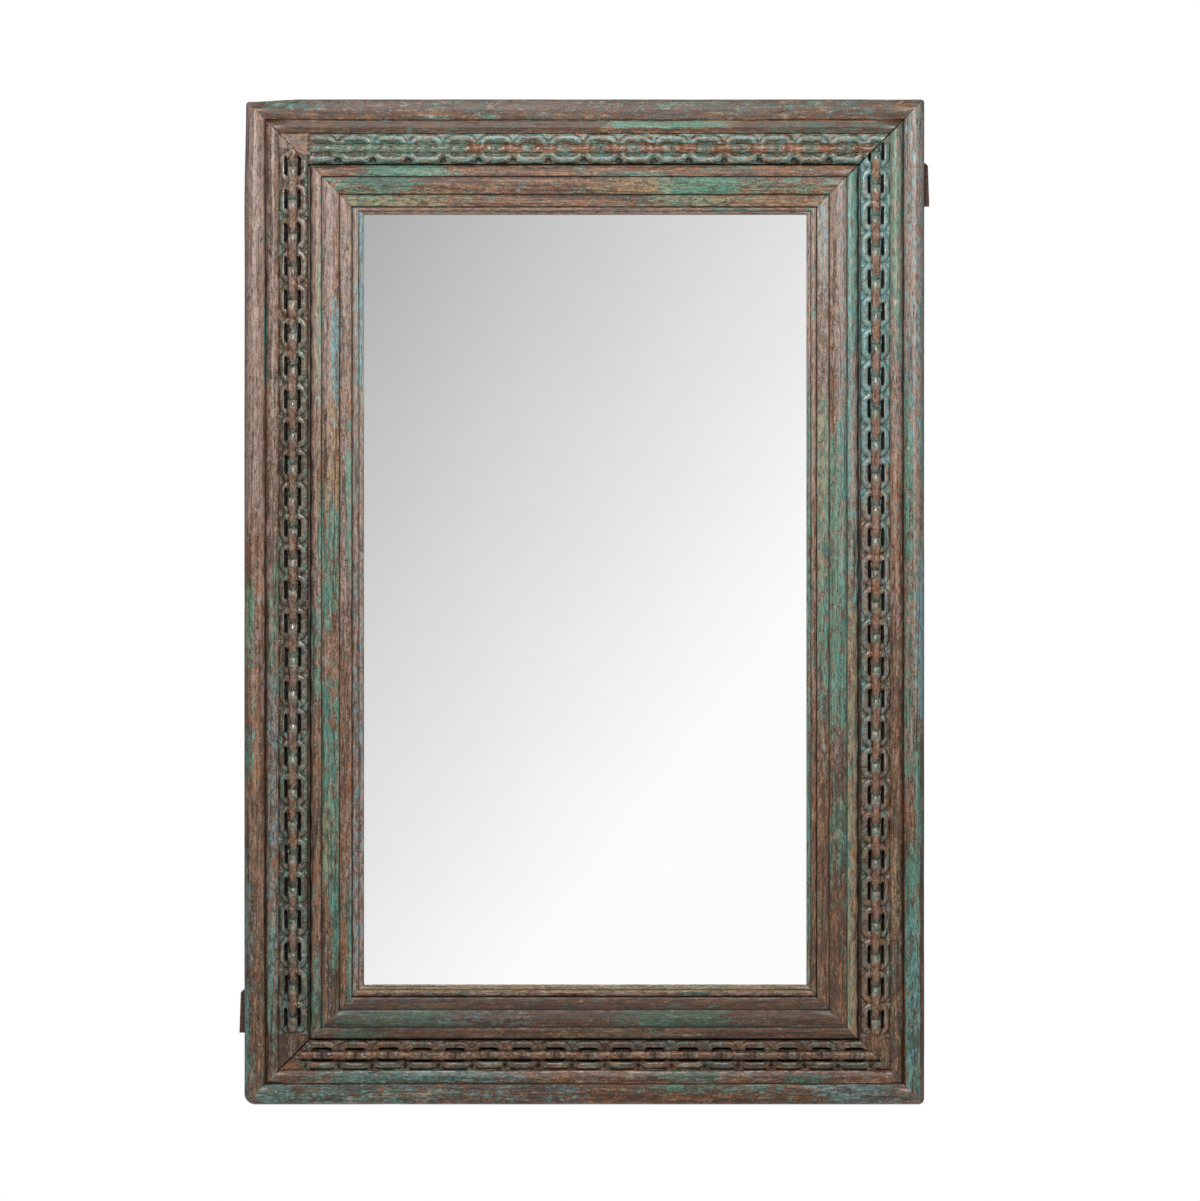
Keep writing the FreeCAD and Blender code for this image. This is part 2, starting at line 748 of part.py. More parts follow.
def ring(side, way):
    """A D-shaped ring of round wire, hanging from its barrel."""
    body = doc.addObject("PartDesign::Body", f"hanger_ring_{side}")
    foot, bend = "(ring_half_width - ring_foot_radius)", "(1 - sqrt(0.5))"
    shoulder = "(ring_length - ring_half_width)"
    corners = [
        (foot, "0"),
        (f"-{foot}", "0", f"ring_foot_radius * {bend}"),
        ("-ring_half_width", "ring_foot_radius"),
        ("-ring_half_width", shoulder, f"ring_half_width * {bend}"),
        ("0", "ring_length", f"ring_half_width * {bend}"),
        ("ring_half_width", shoulder),
        ("ring_half_width", "ring_foot_radius", f"ring_foot_radius * {bend}"),
    ]
    path = sketch_on(body, "path", "XZ_Plane", [corners])
    wire = round_section(body, "wire", "YZ_Plane", "ring_wire_radius", ("0", "0", "0"))
    sweep = body.newObject("PartDesign::AdditivePipe", "ring")
    sweep.Profile = wire
    sweep.Spine = (path, [])
    body.Placement = Placement(Vector(), Rotation(Vector(1, 0, 0), 180))
    place_hanger(body, way)
    return body


for side, way in (("left", -1), ("right", 1)):
    finished[f"hanger_strap_{side}"] = strap(side, way)
    finished[f"hanger_ring_{side}"] = ring(side, way)

doc.recompute()
for thing in doc.Objects:
    if {"Invalid", "Error"} & set(thing.State):
        raise RuntimeError(f"{thing.Label} did not compute: {thing.State}")
for name, thing in finished.items():
    shape = thing.Shape
    if shape.isNull() or not shape.isValid() or not shape.Solids:
        raise RuntimeError(f"{name} is not a sound solid")

os.makedirs("parts", exist_ok=True)
for name, thing in finished.items():
    thing.Shape.exportStep(os.path.join("parts", f"{name}.step"))
print(len(finished), "pieces written")
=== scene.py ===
# %% [markdown]
# # An old carved mirror frame with worn turquoise paint
# The real object is a heavy frame built up from four mouldings on each side: a broad outer
# member with a roll and a torus, a carved chain laid in a channel, a stepped inner moulding
# and a thin slip against the mirror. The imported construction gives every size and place, and
# this lesson only adds what tools and time did to the surfaces.

import math

import bpy
import numpy as np
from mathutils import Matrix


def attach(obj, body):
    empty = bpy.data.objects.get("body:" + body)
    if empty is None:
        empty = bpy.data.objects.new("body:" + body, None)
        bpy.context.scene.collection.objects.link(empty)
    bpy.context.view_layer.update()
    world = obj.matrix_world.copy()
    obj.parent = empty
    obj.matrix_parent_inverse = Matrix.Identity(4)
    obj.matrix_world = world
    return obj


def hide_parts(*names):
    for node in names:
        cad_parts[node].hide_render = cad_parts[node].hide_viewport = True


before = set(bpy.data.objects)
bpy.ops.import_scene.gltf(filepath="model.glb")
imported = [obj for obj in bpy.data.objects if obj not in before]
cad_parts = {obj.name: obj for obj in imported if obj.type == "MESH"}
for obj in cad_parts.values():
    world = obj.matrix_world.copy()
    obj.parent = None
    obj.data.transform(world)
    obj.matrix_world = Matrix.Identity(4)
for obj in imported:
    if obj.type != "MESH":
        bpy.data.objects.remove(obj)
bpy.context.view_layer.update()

# %% [markdown]
# ## One set of axes for all four sides
# A frame maker thinks along a length of moulding: u runs inward from the outer edge, h runs
# forward from the wall and l runs along the length. Shapes are worked out in those three, in
# millimetres, and one function then turns them to the left, right, top or bottom. Each side
# is mitred, so at a distance u from the edge its length is shorter by u at both ends.

# %% Turn a side's own axes into the shared frame
WIDTH, HEIGHT, TOP_EDGE = 790.0, 1168.0, 98.0
MIDDLE_Z = TOP_EDGE - HEIGHT / 2
LENGTHS = {"left": HEIGHT, "right": HEIGHT, "top": WIDTH, "bottom": WIDTH}
SIDES = list(LENGTHS)


def to_side(side, u, h, l):
    """Points of the finished frame in metres: u is measured in from that side's outer edge,
    h comes forward out of the wall, and l runs along the side from its middle."""
    if side == "left":
        x, z = u - WIDTH / 2, MIDDLE_Z - l
    elif side == "right":
        x, z = WIDTH / 2 - u, MIDDLE_Z + l
    elif side == "top":
        x, z = -l, TOP_EDGE - u
    else:
        x, z = l, TOP_EDGE - HEIGHT + u
    return np.stack([x, -h, z], axis=-1) * 0.001


def along_picture(side, l):
    """How far along the side a point lies, 0 at its top or left end and 1 at the other."""
    way = {"left": 1, "right": -1, "top": -1, "bottom": 1}[side]
    return 0.5 + way * l / LENGTHS[side]


print("sides:", LENGTHS)

# %% [markdown]
# ## Unevenness that never changes
# Hand work and a century of knocks leave low bumps with no pattern. A table of random heights
# on a square lattice, blended smoothly between lattice points, gives such bumps anywhere, and
# a fixed seed makes them come out the same on every run.

# %% Seeded bumps
TABLE = 96


def ease(x, low, high):
    """A smooth step: 0 below low, 1 above high, and 3t^2 - 2t^3 in between. With low above
    high it falls instead of rising."""
    t = np.clip((x - low) / (high - low), 0, 1)
    return t * t * (3 - 2 * t)


def between(x, low, high, soft):
    """A window: 1 from low to high and 0 outside, with eased ends that are 2 soft wide."""
    return ease(x, low - soft, low + soft) * (1 - ease(x, high - soft, high + soft))


def hump(x, at, half):
    """A bell: 1 in its middle, falling as e^(-d^2) with d counted in half widths."""
    return np.exp(-(((x - at) / half) ** 2))


def bumps(p, q, seed):
    """Random heights from -1 to 1 on the whole numbers of p and q, with the four nearest
    blended by an eased step in each direction."""
    heights = np.random.default_rng(seed).uniform(-1, 1, (TABLE, TABLE))
    i, j = np.floor(p).astype(int), np.floor(q).astype(int)
    s, t = ease(p - i, 0, 1), ease(q - j, 0, 1)
    low = heights[i % TABLE, j % TABLE] * (1 - s) + heights[(i + 1) % TABLE, j % TABLE] * s
    high = heights[i % TABLE, (j + 1) % TABLE] * (1 - s)
    high = high + heights[(i + 1) % TABLE, (j + 1) % TABLE] * s
    return low * (1 - t) + high * t


def rough(p, q, seed, octaves=3):
    """Bumps added to finer and lower bumps, each half as long and half as high."""
    return sum(bumps(p * 2**k, q * 2**k, seed + k) / 2**k for k in range(octaves)) / 1.75


print("bumps at the origin:", float(rough(np.zeros(1), np.zeros(1), 3)[0]))

# %% [markdown]
# ## A section carried along a side
# A moulding is one outline pushed along a length. The outline is drawn as corners, where an
# edge may be an arc that rises above its chord, and is then sampled into points. The skin is
# a grid with the outline one way and the length the other, closed by a flat cap at each
# mitre. An extrusion with a bevel would be quicker to make, but a grid can be carved.

# %% Draw an outline, and skin a grid of points
SHARP_ANGLE = math.radians(48)


def outline(corners):
    """Points round a closed section. Each corner is (u, h, spacing, rise): the edge leaving it
    is cut into steps of about that spacing, and is an arc of that rise over its chord."""
    pieces = []
    for (u0, h0, spacing, rise), (u1, h1, *_) in zip(corners, corners[1:] + corners[:1]):
        chord = math.hypot(u1 - u0, h1 - h0)
        steps = max(1, round(chord / spacing))
        t = np.arange(steps) / steps
        across, up = (u1 - u0) / chord, (h1 - h0) / chord
        lift = np.zeros_like(t)
        if rise:
            radius = chord**2 / (8 * rise) + rise / 2
            lift = np.sqrt(radius**2 - ((t - 0.5) * chord) ** 2) - (radius - rise)
        u, h = u0 + (u1 - u0) * t - up * lift, h0 + (h1 - h0) * t + across * lift
        pieces.append(np.stack([u, h]))
    return np.concatenate(pieces, axis=1)


def softened(points, times, where):
    """The outline with its sharp edges worn: each chosen point moves toward the mean of its
    two neighbours, a few times over."""
    for _ in range(times):
        mean = (np.roll(points, 1, axis=1) + np.roll(points, -1, axis=1)) / 2
        points = np.where(where, (points + mean) / 2, points)
    return points


def skin(name, grid, marks):
    """A closed mesh over a grid of points, rows along the side and columns round the section.
    Faces join each point to the next row and next column; the end rows are capped flat."""
    rows, columns = grid.shape[:2]
    i, j = np.meshgrid(np.arange(rows - 1), np.arange(columns), indexing="ij")
    after = (j + 1) % columns
    here, above = i * columns, (i + 1) * columns
    corners = (here + j, here + after, above + after, above + j)
    quads = np.stack(corners, axis=-1).reshape(-1, 4)
    points = grid.reshape(-1, 3)
    a, b, c, d = (points[quads[:, k]] for k in range(4))
    volume = np.sum(a * np.cross(b, c)) + np.sum(a * np.cross(c, d))
    first, last = np.arange(columns)[::-1], (rows - 1) * columns + np.arange(columns)
    faces = [*quads.tolist(), first.tolist(), last.tolist()]
    if volume < 0:
        faces = [face[::-1] for face in faces]
    mesh = bpy.data.meshes.new(name)
    mesh.from_pydata(points.tolist(), [], faces)
    mesh.shade_smooth()
    mesh.set_sharp_from_angle(angle=SHARP_ANGLE)
    for mark, values in marks.items():
        flat = np.asarray(values, np.float32)
        kind, key = ("FLOAT_VECTOR", "vector") if flat.ndim == 3 else ("FLOAT", "value")
        mesh.attributes.new(mark, kind, "POINT").data.foreach_set(key, flat.ravel())
    piece = bpy.data.objects.new(name, mesh)
    bpy.context.scene.collection.objects.link(piece)
    return piece


def blurred(values, reach, axis=1):
    """The mean of each value and its neighbours within a reach along one axis."""
    shifts = range(-reach, reach + 1)
    return sum(np.roll(values, k, axis=axis) for k in shifts) / (2 * reach + 1)


print("outline and skin are ready")

# %% [markdown]
# ## Where each paint is left
# The frame was painted more than once and rubbed back, so the colours lie in long patches.
# They are listed by side and by paint: the strip of the section, where the patch starts and
# ends along the side, and how much of the paint is left. Between patches a side keeps a little
# of every paint, from one level at its first end to another at its last. Painting a picture by
# hand would also work, but a list stays easy to change.

# %% Strips of the section, and the patches
STRIPS = {
    "very edge": (-4, 3), "outer edge": (-4, 5), "roll": (-4, 24), "roll outer": (2, 12),
    "roll crest": (7, 13), "roll middle": (5, 22), "roll inner": (13, 24), "groove": (22.5, 27),
    "torus": (26, 40), "torus outer": (26, 34), "chain": (40, 76),
    "outer fascia": (76, 90), "outer fascia edge": (85.5, 90.5),
    "middle fascia": (90.5, 110.5), "middle fascia outer": (90.5, 99),
    "middle fascia crest": (93, 98), "middle fascia inner": (101, 110.5),
    "inner fascia": (110.5, 124.5), "inner fascia edge": (119, 125),
    "slip": (124.5, 138), "slip outer": (124.5, 130.5), "sight edge": (131.5, 139),
}
PAINTS = ("turquoise", "blue", "rust", "bloom", "gold", "dark")
EVERYWHERE = {
    "left": ((0.32, 0.40), (0.30, 0.38), (0.50, 0.50), (0.56, 0.36), (0.34, 0.37), (0.28, 0.46)),
    "right": ((0.42, 0.39), (0.38, 0.36), (0.46, 0.50), (0.55, 0.37), (0.37, 0.39), (0.26, 0.46)),
    "top": ((0.41, 0.42), (0.37, 0.37), (0.62, 0.62), (0.35, 0.35), (0.38, 0.39), (0.44, 0.43)),
    "bottom": ((0.41, 0.40), (0.39, 0.38), (0.60, 0.62), (0.24, 0.24), (0.37, 0.38), (0.49, 0.51)),
}
PATCHES = {
    ("left", "turquoise"): [
        ("groove", 0.2, 0.27, 0.8), ("roll outer", 0.475, 0.55, 0.66),
        ("roll outer", 0.63, 0.67, 0.7), ("outer edge", 0.74, 1, 0.56), ("torus", 0.45, 0.6, 0.52),
        ("torus outer", 0.82, 0.93, 0.7), ("outer fascia edge", 0.155, 0.3, 0.75),
        ("outer fascia edge", 0.39, 0.47, 0.72), ("outer fascia", 0.5, 0.62, 0.55),
        ("outer fascia", 0.86, 0.95, 0.6), ("middle fascia", 0.4, 0.47, 0.58),
        ("middle fascia", 0.47, 0.52, 0.72), ("middle fascia", 0.58, 0.8, 0.6),
        ("middle fascia inner", 0.77, 0.86, 0.7), ("inner fascia edge", 0.33, 0.48, 0.72),
        ("inner fascia edge", 0.78, 0.93, 0.7),
    ],
    ("left", "blue"): [
        ("outer edge", 0.78, 1, 0.5), ("torus", 0.56, 0.9, 0.46),
        ("middle fascia inner", 0.19, 0.32, 0.62), ("slip", 0, 0.45, 0.36),
        # The pale blue along the left sight edge is partly a painted reflection of the glass edge.
        ("sight edge", 0.02, 0.3, 0.66), ("slip", 0.45, 1, 0.42),
    ],
    ("left", "rust"): [
        ("outer edge", 0.18, 0.4, 0.6), ("roll inner", 0.24, 0.52, 0.6),
        ("outer fascia", 0.16, 0.42, 0.62), ("middle fascia inner", 0.05, 0.2, 0.62),
        ("middle fascia", 0.52, 0.57, 0.56), ("inner fascia", 0.55, 0.74, 0.6),
        ("slip outer", 0.45, 0.95, 0.52),
    ],
    ("left", "bloom"): [
        # The bloom on the left sight edge is partly a painted reflection of the glass edge.
        ("sight edge", 0, 0.3, 0.9), ("roll", 0, 0.42, 0.72), ("torus", 0, 0.36, 0.56),
        ("outer fascia", 0, 0.3, 0.72), ("middle fascia outer", 0, 0.3, 0.7),
        ("inner fascia", 0.05, 0.28, 0.48), ("slip", 0, 0.4, 1), ("slip", 0.4, 1, 0.56),
    ],
    ("left", "gold"): [
        ("outer edge", 0.49, 0.54, 0.6), ("outer fascia", 0.15, 0.3, 0.48),
        ("middle fascia", 0.3, 0.42, 0.52), ("middle fascia outer", 0.69, 0.8, 0.52),
        ("slip", 0.1, 0.44, 0.4),
    ],
    ("left", "dark"): [
        ("torus", 0, 1, 0.4), ("slip", 0, 1, 0.1),
    ],
    ("right", "turquoise"): [
        ("outer edge", 0.32, 0.38, 0.74), ("roll inner", 0.28, 0.46, 0.6),
        ("roll outer", 0.64, 0.74, 0.62), ("roll middle", 0.74, 1, 0.66),
        ("torus", 0.02, 0.24, 0.58), ("outer fascia", 0.03, 0.24, 0.74),
        ("outer fascia edge", 0.22, 0.94, 0.7), ("outer fascia", 0.4, 0.72, 0.5),
        ("roll inner", 0.46, 0.7, 0.48), ("chain", 0, 0.34, 0.6),
        ("middle fascia", 0.32, 0.63, 0.6), ("middle fascia", 0.69, 0.77, 0.6),
        ("inner fascia", 0.3, 0.6, 0.58), ("sight edge", 0.28, 0.95, 0.62),
    ],
    ("right", "blue"): [
        ("roll outer", 0.45, 0.62, 0.52), ("outer edge", 0.45, 0.62, 0.8),
        ("roll middle", 0.8, 1, 0.42), ("outer fascia", 0, 0.5, 0.4), ("roll", 0, 0.36, 0.42),
        ("middle fascia outer", 0.08, 0.36, 0.36), ("chain", 0, 0.4, 0.42),
        ("inner fascia", 0.05, 0.2, 0.44),
    ],
    ("right", "rust"): [
        ("torus", 0.34, 0.76, 1), ("outer fascia", 0.3, 0.48, 0.56),
        ("middle fascia inner", 0.3, 0.63, 0.56), ("middle fascia", 0.77, 0.97, 0.62),
        ("inner fascia", 0.62, 0.92, 0.72), ("slip outer", 0.28, 0.95, 0.76),
        ("slip", 0.05, 0.3, 0.62),
    ],
    ("right", "bloom"): [
        # On the right stile the crest patches of the roll and the middle fascia are painted
        # highlights along those rounds, and the upper roll and middle fascia outer patches are partly
        # painted highlight.
        ("slip", 0, 0.4, 0.8), ("roll", 0, 0.34, 0.96), ("roll", 0.34, 0.6, 0.66),
        ("roll crest", -0.1, 0.5, 1.25), ("torus", -0.1, 0.26, 0.84),
        ("outer fascia", 0, 0.4, 0.95), ("outer fascia", 0.4, 1.1, 0.48),
        ("roll inner", 0.34, 0.7, 0.5), ("middle fascia outer", 0.04, 0.36, 1),
        ("middle fascia crest", 0.03, 0.46, 1.25), ("chain", -0.1, 0.3, 0.62),
    ],
    ("right", "gold"): [
        ("torus", 0.7, 0.84, 0.5), ("outer fascia", 0.48, 0.95, 0.5),
        ("inner fascia", 0.3, 0.5, 0.48), ("slip", 0.05, 0.28, 0.3),
    ],
    ("right", "dark"): [
        ("outer edge", 0.63, 1, 0.62), ("torus", 0.46, 1.1, 0.52), ("outer fascia", 0, 1, 0.05),
        ("roll inner", 0, 0.7, 0.05), ("middle fascia", 0.63, 1, 0.52),
        ("inner fascia", 0.6, 1, 0.52),
    ],
    ("top", "turquoise"): [
        ("chain", 0.1, 0.5, 0.58), ("chain", 0.5, 1.1, 0.54), ("roll outer", 0.02, 0.12, 0.62),
        ("roll outer", 0.6, 0.92, 0.5), ("torus outer", 0.53, 0.7, 0.96),
        ("inner fascia", 0.1, 0.32, 0.52), ("torus", 0.77, 0.95, 0.52),
        ("outer fascia", 0.175, 0.28, 0.94), ("outer fascia edge", 0.54, 0.63, 0.78),
        ("middle fascia", 0.14, 0.25, 0.66), ("middle fascia", 0.6, 0.74, 0.86),
        ("middle fascia", 0.74, 0.88, 0.52), ("inner fascia", 0.17, 0.21, 0.84),
        ("inner fascia", 0.6, 0.7, 0.68), ("slip", 0.68, 0.86, 0.44),
    ],
    ("top", "blue"): [
        ("chain", -0.1, 1.1, 0.4), ("roll", -0.1, 1.1, 0.36), ("slip", 0.6, 0.92, 0.3),
    ],
    ("top", "rust"): [
        ("roll inner", 0.08, 0.95, 0.8), ("torus", 0.05, 0.53, 0.64),
        ("outer fascia", 0.28, 0.55, 0.64), ("outer fascia", 0.63, 0.9, 0.68),
        ("middle fascia", 0.25, 0.5, 0.6), ("inner fascia", 0.22, 0.6, 0.62),
        ("slip", 0.1, 0.66, 0.52),
    ],
    ("top", "bloom"): [
        ("roll outer", 0.1, 0.56, 0.56), ("slip", -0.1, 1.1, 0.66),
    ],
    ("top", "gold"): [
        ("chain", -0.1, 1.1, 0.28), ("inner fascia", 0.1, 0.32, 0.52),
        ("middle fascia", 0.5, 0.62, 0.56), ("inner fascia", 0.6, 0.86, 0.5),
    ],
    ("top", "dark"): [
        # On the top rail the dark along the very edge is a painted shadow of the top face, and the
        # dark on the torus is partly painted shade under the roll.
        ("very edge", -0.1, 1.1, 1.3), ("torus", -0.1, 0.53, 1.05), ("torus", 0.7, 1.1, 0.84),
        ("roll", -0.1, 1.1, 0.58), ("torus", 0.53, 0.7, 0.55), ("torus outer", 0.53, 0.72, 0.05),
        ("slip", -0.1, 1.1, 0.02), ("inner fascia", 0.1, 0.36, 0.08),
    ],
    ("bottom", "turquoise"): [
        ("roll", 0, 0.25, 0.54), ("roll inner", 0.6, 0.8, 0.52), ("torus", 0.12, 0.36, 0.72),
        ("torus", 0.61, 0.7, 0.68), ("torus outer", 0.8, 0.86, 0.76),
        ("outer fascia", 0.13, 0.2, 0.7), ("middle fascia", 0.14, 0.3, 0.72),
        ("middle fascia", 0.55, 0.72, 0.72), ("sight edge", 0.55, 0.72, 0.58),
    ],
    ("bottom", "blue"): [
        ("roll", 0, 0.5, 0.46), ("roll", 0.84, 0.97, 0.64), ("torus", 0.13, 0.42, 0.52),
        ("middle fascia", 0.28, 0.42, 0.48),
    ],
    ("bottom", "rust"): [
        ("middle fascia", 0.3, 0.55, 0.58), ("slip outer", 0.1, 0.95, 0.62),
    ],
    ("bottom", "bloom"): [
        ("torus", 0, 1, 0.44), ("slip", 0, 1, 0.52),
    ],
    ("bottom", "gold"): [
        # The cream along the bottom sight edge is partly a painted highlight on the upward-facing
        # edge.
        ("outer fascia", 0.45, 0.62, 0.5), ("sight edge", 0.1, 0.95, 1),
    ],
    ("bottom", "dark"): [
        ("outer edge", 0.25, 0.95, 0.62), ("torus", 0, 1, 0.5), ("outer fascia", 0, 1, 0.66),
        ("inner fascia", 0, 1, 0.74), ("middle fascia", 0, 1, 0.7), ("slip", 0, 1, 0.3),
    ],
}
print("patches:", sum(map(len, PATCHES.values())), "in", len(PATCHES), "lists")

# %% [markdown]
# ## Reading the lists at a point
# Old paint never ends on a ruled line: it frays along the grain and thins in places. So each
# patch is a window with soft ends, its place is shaken by seeded bumps before it is looked up,
# and its level is mottled. Where two patches of a paint overlap, the later one wins.

# %% Paint left at a point
FAINTEST, PER_LEVEL = 0.29, 0.42
SOFT_END, SOFT_EDGE = 0.03, 0.8


def paint_left(side, u, l):
    """How much of each paint is left at (u, l): the side's own level, drifting along its
    length, replaced inside a patch by the patch's level through a soft-edged window."""
    v = along_picture(side, l)
    seed = 40 + 10 * SIDES.index(side)
    ragged = v + rough(v * 40, u / 4.0, seed + 7) * 0.03
    edge = u + rough(v * 45, u * 0, seed + 8) * 1.2
    mottle = rough(v * 90, u / 3.5, seed + 9) * 0.08
    left = {}
    for k, (paint, (start, end)) in enumerate(zip(PAINTS, EVERYWHERE[side])):
        slow, quick = rough(v * 14, u / 9.0, seed + k), rough(v * 70, u / 4.0, seed + 20 + k)
        level = start + (end - start) * v + slow * 0.10 + quick * 0.07
        for strip, first, last, amount in PATCHES.get((side, paint), []):
            window = between(ragged, first, last, SOFT_END) * between(edge, *STRIPS[strip], SOFT_EDGE)
            level = level * (1 - window) + (FAINTEST + PER_LEVEL * amount + mottle) * window
        left[paint] = level
    return left


sample = paint_left("left", np.array([[24.0]]), np.array([[-300.0]]))
print("paint in the left groove:", {paint: round(float(x[0, 0]), 2) for paint, x in sample.items()})

# %% [markdown]
# ## Tool marks and mitres
# A plane leaves long low waves, a chisel short ones, and use adds knocks that bite deepest on
# the arrises. At the corners the four sides have to meet, so all of that fades out toward the
# mitres, and a few mitres have opened. These could be sculpted by hand, but worked out from
# u, h and l they can be laid on any moulding.

# %% Marks on a moulding
RAILS = ("top", "bottom")


def lay_along(side, points, steps):
    """The grid of a section carried along a side: u and h repeat in every row, and each row
    lies at a fixed share of the mitred length that is left at that u."""
    share = np.linspace(-1, 1, steps + 1)[:, None]
    u, h = (np.broadcast_to(p, (steps + 1, points.shape[1])) for p in points)
    return u.copy(), h.copy(), share * (LENGTHS[side] / 2 - u)


def from_mitre(side, u, l):
    """How far a point lies from the nearer mitre, measured along the side."""
    return LENGTHS[side] / 2 - u - np.abs(l)


def away_from_mitre(side, u, l, reach=9.0):
    """0 on the mitre lines and 1 from a reach away, so that the four sides still meet."""
    return ease(from_mitre(side, u, l), 0, reach)


def open_mitre(side, u, l):
    """How far the surface dips along the mitres: a hair line on all of them, and an open crack
    from torus to chain at the upper right and across the chain at the lower left."""
    apart = from_mitre(side, u, l)
    cracked = ((side == "top") & (l < 0)) | ((side == "right") & (l > 0))
    parted = ((side == "left") & (l > 0)) | ((side == "bottom") & (l < 0))
    wide = cracked * ease(u, 18, 26) * (1 - ease(u, 78, 92))
    wide = wide + parted * ease(u, 40, 46) * (1 - ease(u, 72, 80))
    hair = 0.4 * (1 - ease(apart, 0, 0.8)) * ease(u, 20, 26)
    return 3.2 * (1 - ease(apart, 0.2, 1.1)) * wide + hair


def relief_marks(h, reach):
    """Two masks from a grid of heights: hollow where a point lies below its neighbours round the
    section, darkened as dirt and painted shade, and arris where it stands above them, rubbed pale."""
    rest = blurred(blurred(h, reach), reach)
    return np.clip((rest - h) / 1.6, 0, 1), np.clip((h - rest) / 0.9, 0, 1)


def dirt_and_shade_lines(u, lines):
    """Dirt and painted shade along the steps: 1 on each line (its u and half width) and fading beside
    it.
    """
    return np.maximum.reduce([hump(u, at, half) for at, half in lines])


def tool_marks(u, l, arris, seed, waves, knocks):
    """What tools and knocks add to the heights. A wave is (length along, length across, height).
    A knock takes wood off where bumps of its two lengths rise from one level to another, by
    one depth everywhere and by another on top of it on the arrises."""
    added = 0
    for k, (along, across, height) in enumerate(waves):
        added = added + rough(l / along, u / across, seed + 10 * k) * height
    along, across, low, high, flat, edge = knocks
    knock = ease(rough(l / along, u / across, seed + 20), low, high) * (flat + edge * arris)
    return added - knock


def planed(side, u, h, l, flat, upto):
    """The rails were planed flatter than the stiles: away from the mitres their heights go most
    of the way to a flatter section, which is a row of heights read off at each u."""
    if side not in RAILS:
        return h
    share = 0.88 * (h > flat[1][0] - 0.1) * (u < upto) * away_from_mitre(side, u, l, 30.0)
    return h + (np.interp(u, *flat) - h) * share


print("dip of the open mitre:", float(open_mitre("top", np.array([50.0]), np.array([-345.0]))[0]))

# %% [markdown]
# ## Placing a finished piece
# The frame's outer corners are rubbed round by squeezing a small square of the plan into a
# quarter circle, and the upper left corner has slumped. What the finish needs to know of each
# point (its paints, its place in the grain, dirt and painted shade, rubbing and painted
# highlights, and lost wax) is kept on the mesh, so that one recipe can serve every piece.

# %% From a grid to a piece
CORNER_ROUND = {
    ("left", 1): 13.0, ("left", -1): 4.0, ("right", 1): 4.0, ("right", -1): 7.0,
    ("bottom", -1): 13.0, ("bottom", 1): 7.0, ("top", 1): 4.0, ("top", -1): 4.0,
}
BARE_TO_PAINTED = (21, 34)
FRONT_HEIGHT = 44
carved = {"old_timber": [], "carved_timber": [], "painted_timber": [], "slip_timber": []}


def rounded_corners(side, u, l):
    """Plan positions with the outer corners rubbed round. In a corner square of side r a point
    at Chebyshev distance m from the square's inner corner moves to Euclidean distance m."""
    half = LENGTHS[side] / 2
    for way in (1, -1):
        r = CORNER_ROUND[side, way]
        a, b = r - u, r - (half - way * l)
        inside = (a > 0) & (b > 0)
        far = np.where(inside, np.hypot(a, b), 1.0)
        pull = np.where(inside, np.maximum(a, b) / np.maximum(far, 1e-6), 1.0)
        u = np.where(inside, r - a * pull, u)
        l = np.where(inside, way * (half - (r - b * pull)), l)
    return u, l


def slumped(points):
    """The upper left corner has lost some wood: the top edge sinks 3 mm over its last 70 mm,
    and the left edge leans in 2 mm over the top 130 mm, both fading out across the roll."""
    x, z = points[..., 0] * 1000 + WIDTH / 2, TOP_EDGE - points[..., 2] * 1000
    sink = 3.0 * (1 - ease(x, 4, 70)) * (1 - ease(z, 0, 24))
    lean = 2.0 * (1 - ease(z, 0, 130)) * (1 - ease(x, 0, 24))
    return points + np.stack([lean, 0 * x, -sink], axis=-1) * 0.001


def finish_piece(side, node, slot_name, u, h, l, hollow, arris, plain=0.0):
    """Places a carved grid, with its paint, wear and painted light kept as attributes of its points.
    Paint thins out toward the bare back. The rails and any plain stretch have lost their wax, which
    is kept as a share called matt. There the finish is duller, and its colour is also darkened as
    painted shade for the weaker sheen."""
    name = f"worn_{node}"
    shown = ease(h, *BARE_TO_PAINTED)
    marks = {}
    for paint, level in paint_left(side, u, l).items():
        marks[paint] = np.clip(level * (0.3 + 0.7 * shown), 0, 1)
    step_u, step_h = (np.diff(p, axis=1, prepend=p[:, :1]) for p in (u, h))
    run = np.cumsum(np.hypot(step_u, step_h), axis=1)
    own_log = np.full_like(l, 310.0 * SIDES.index(side) + 70.0 * len(name))
    marks["grain"] = np.stack([l, run, own_log], axis=-1) * 0.001
    marks["hollow"], marks["arris"] = hollow * shown, arris
    driest = 0.75 if slot_name == "carved_timber" else 1.0
    dry = (side in RAILS) * away_from_mitre(side, u, l, 20.0) * driest
    marks["matt"] = np.maximum(dry, plain)
    h = np.where(h > FRONT_HEIGHT, h - open_mitre(side, u, l), h)
    plan_u, plan_l = rounded_corners(side, u, l)
    piece = skin(name, slumped(to_side(side, plan_u, h, plan_l)), marks)
    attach(piece, "frame")
    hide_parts(node)
    carved[slot_name].append(piece)
    return piece


def tally(slot_name):
    """The pieces of one timber, with their numbers of faces."""
    return [(piece.name, len(piece.data.polygons)) for piece in carved[slot_name]]


print("timbers to carve:", list(carved))

# %% [markdown]
# ## The outer members
# Four wide boards carry a roll at the outer edge, a deep groove and a smaller torus. The
# outline follows the construction, with its edges worn round. The rails are planed flatter than
# the stiles, and tool marks and knocks are then added.

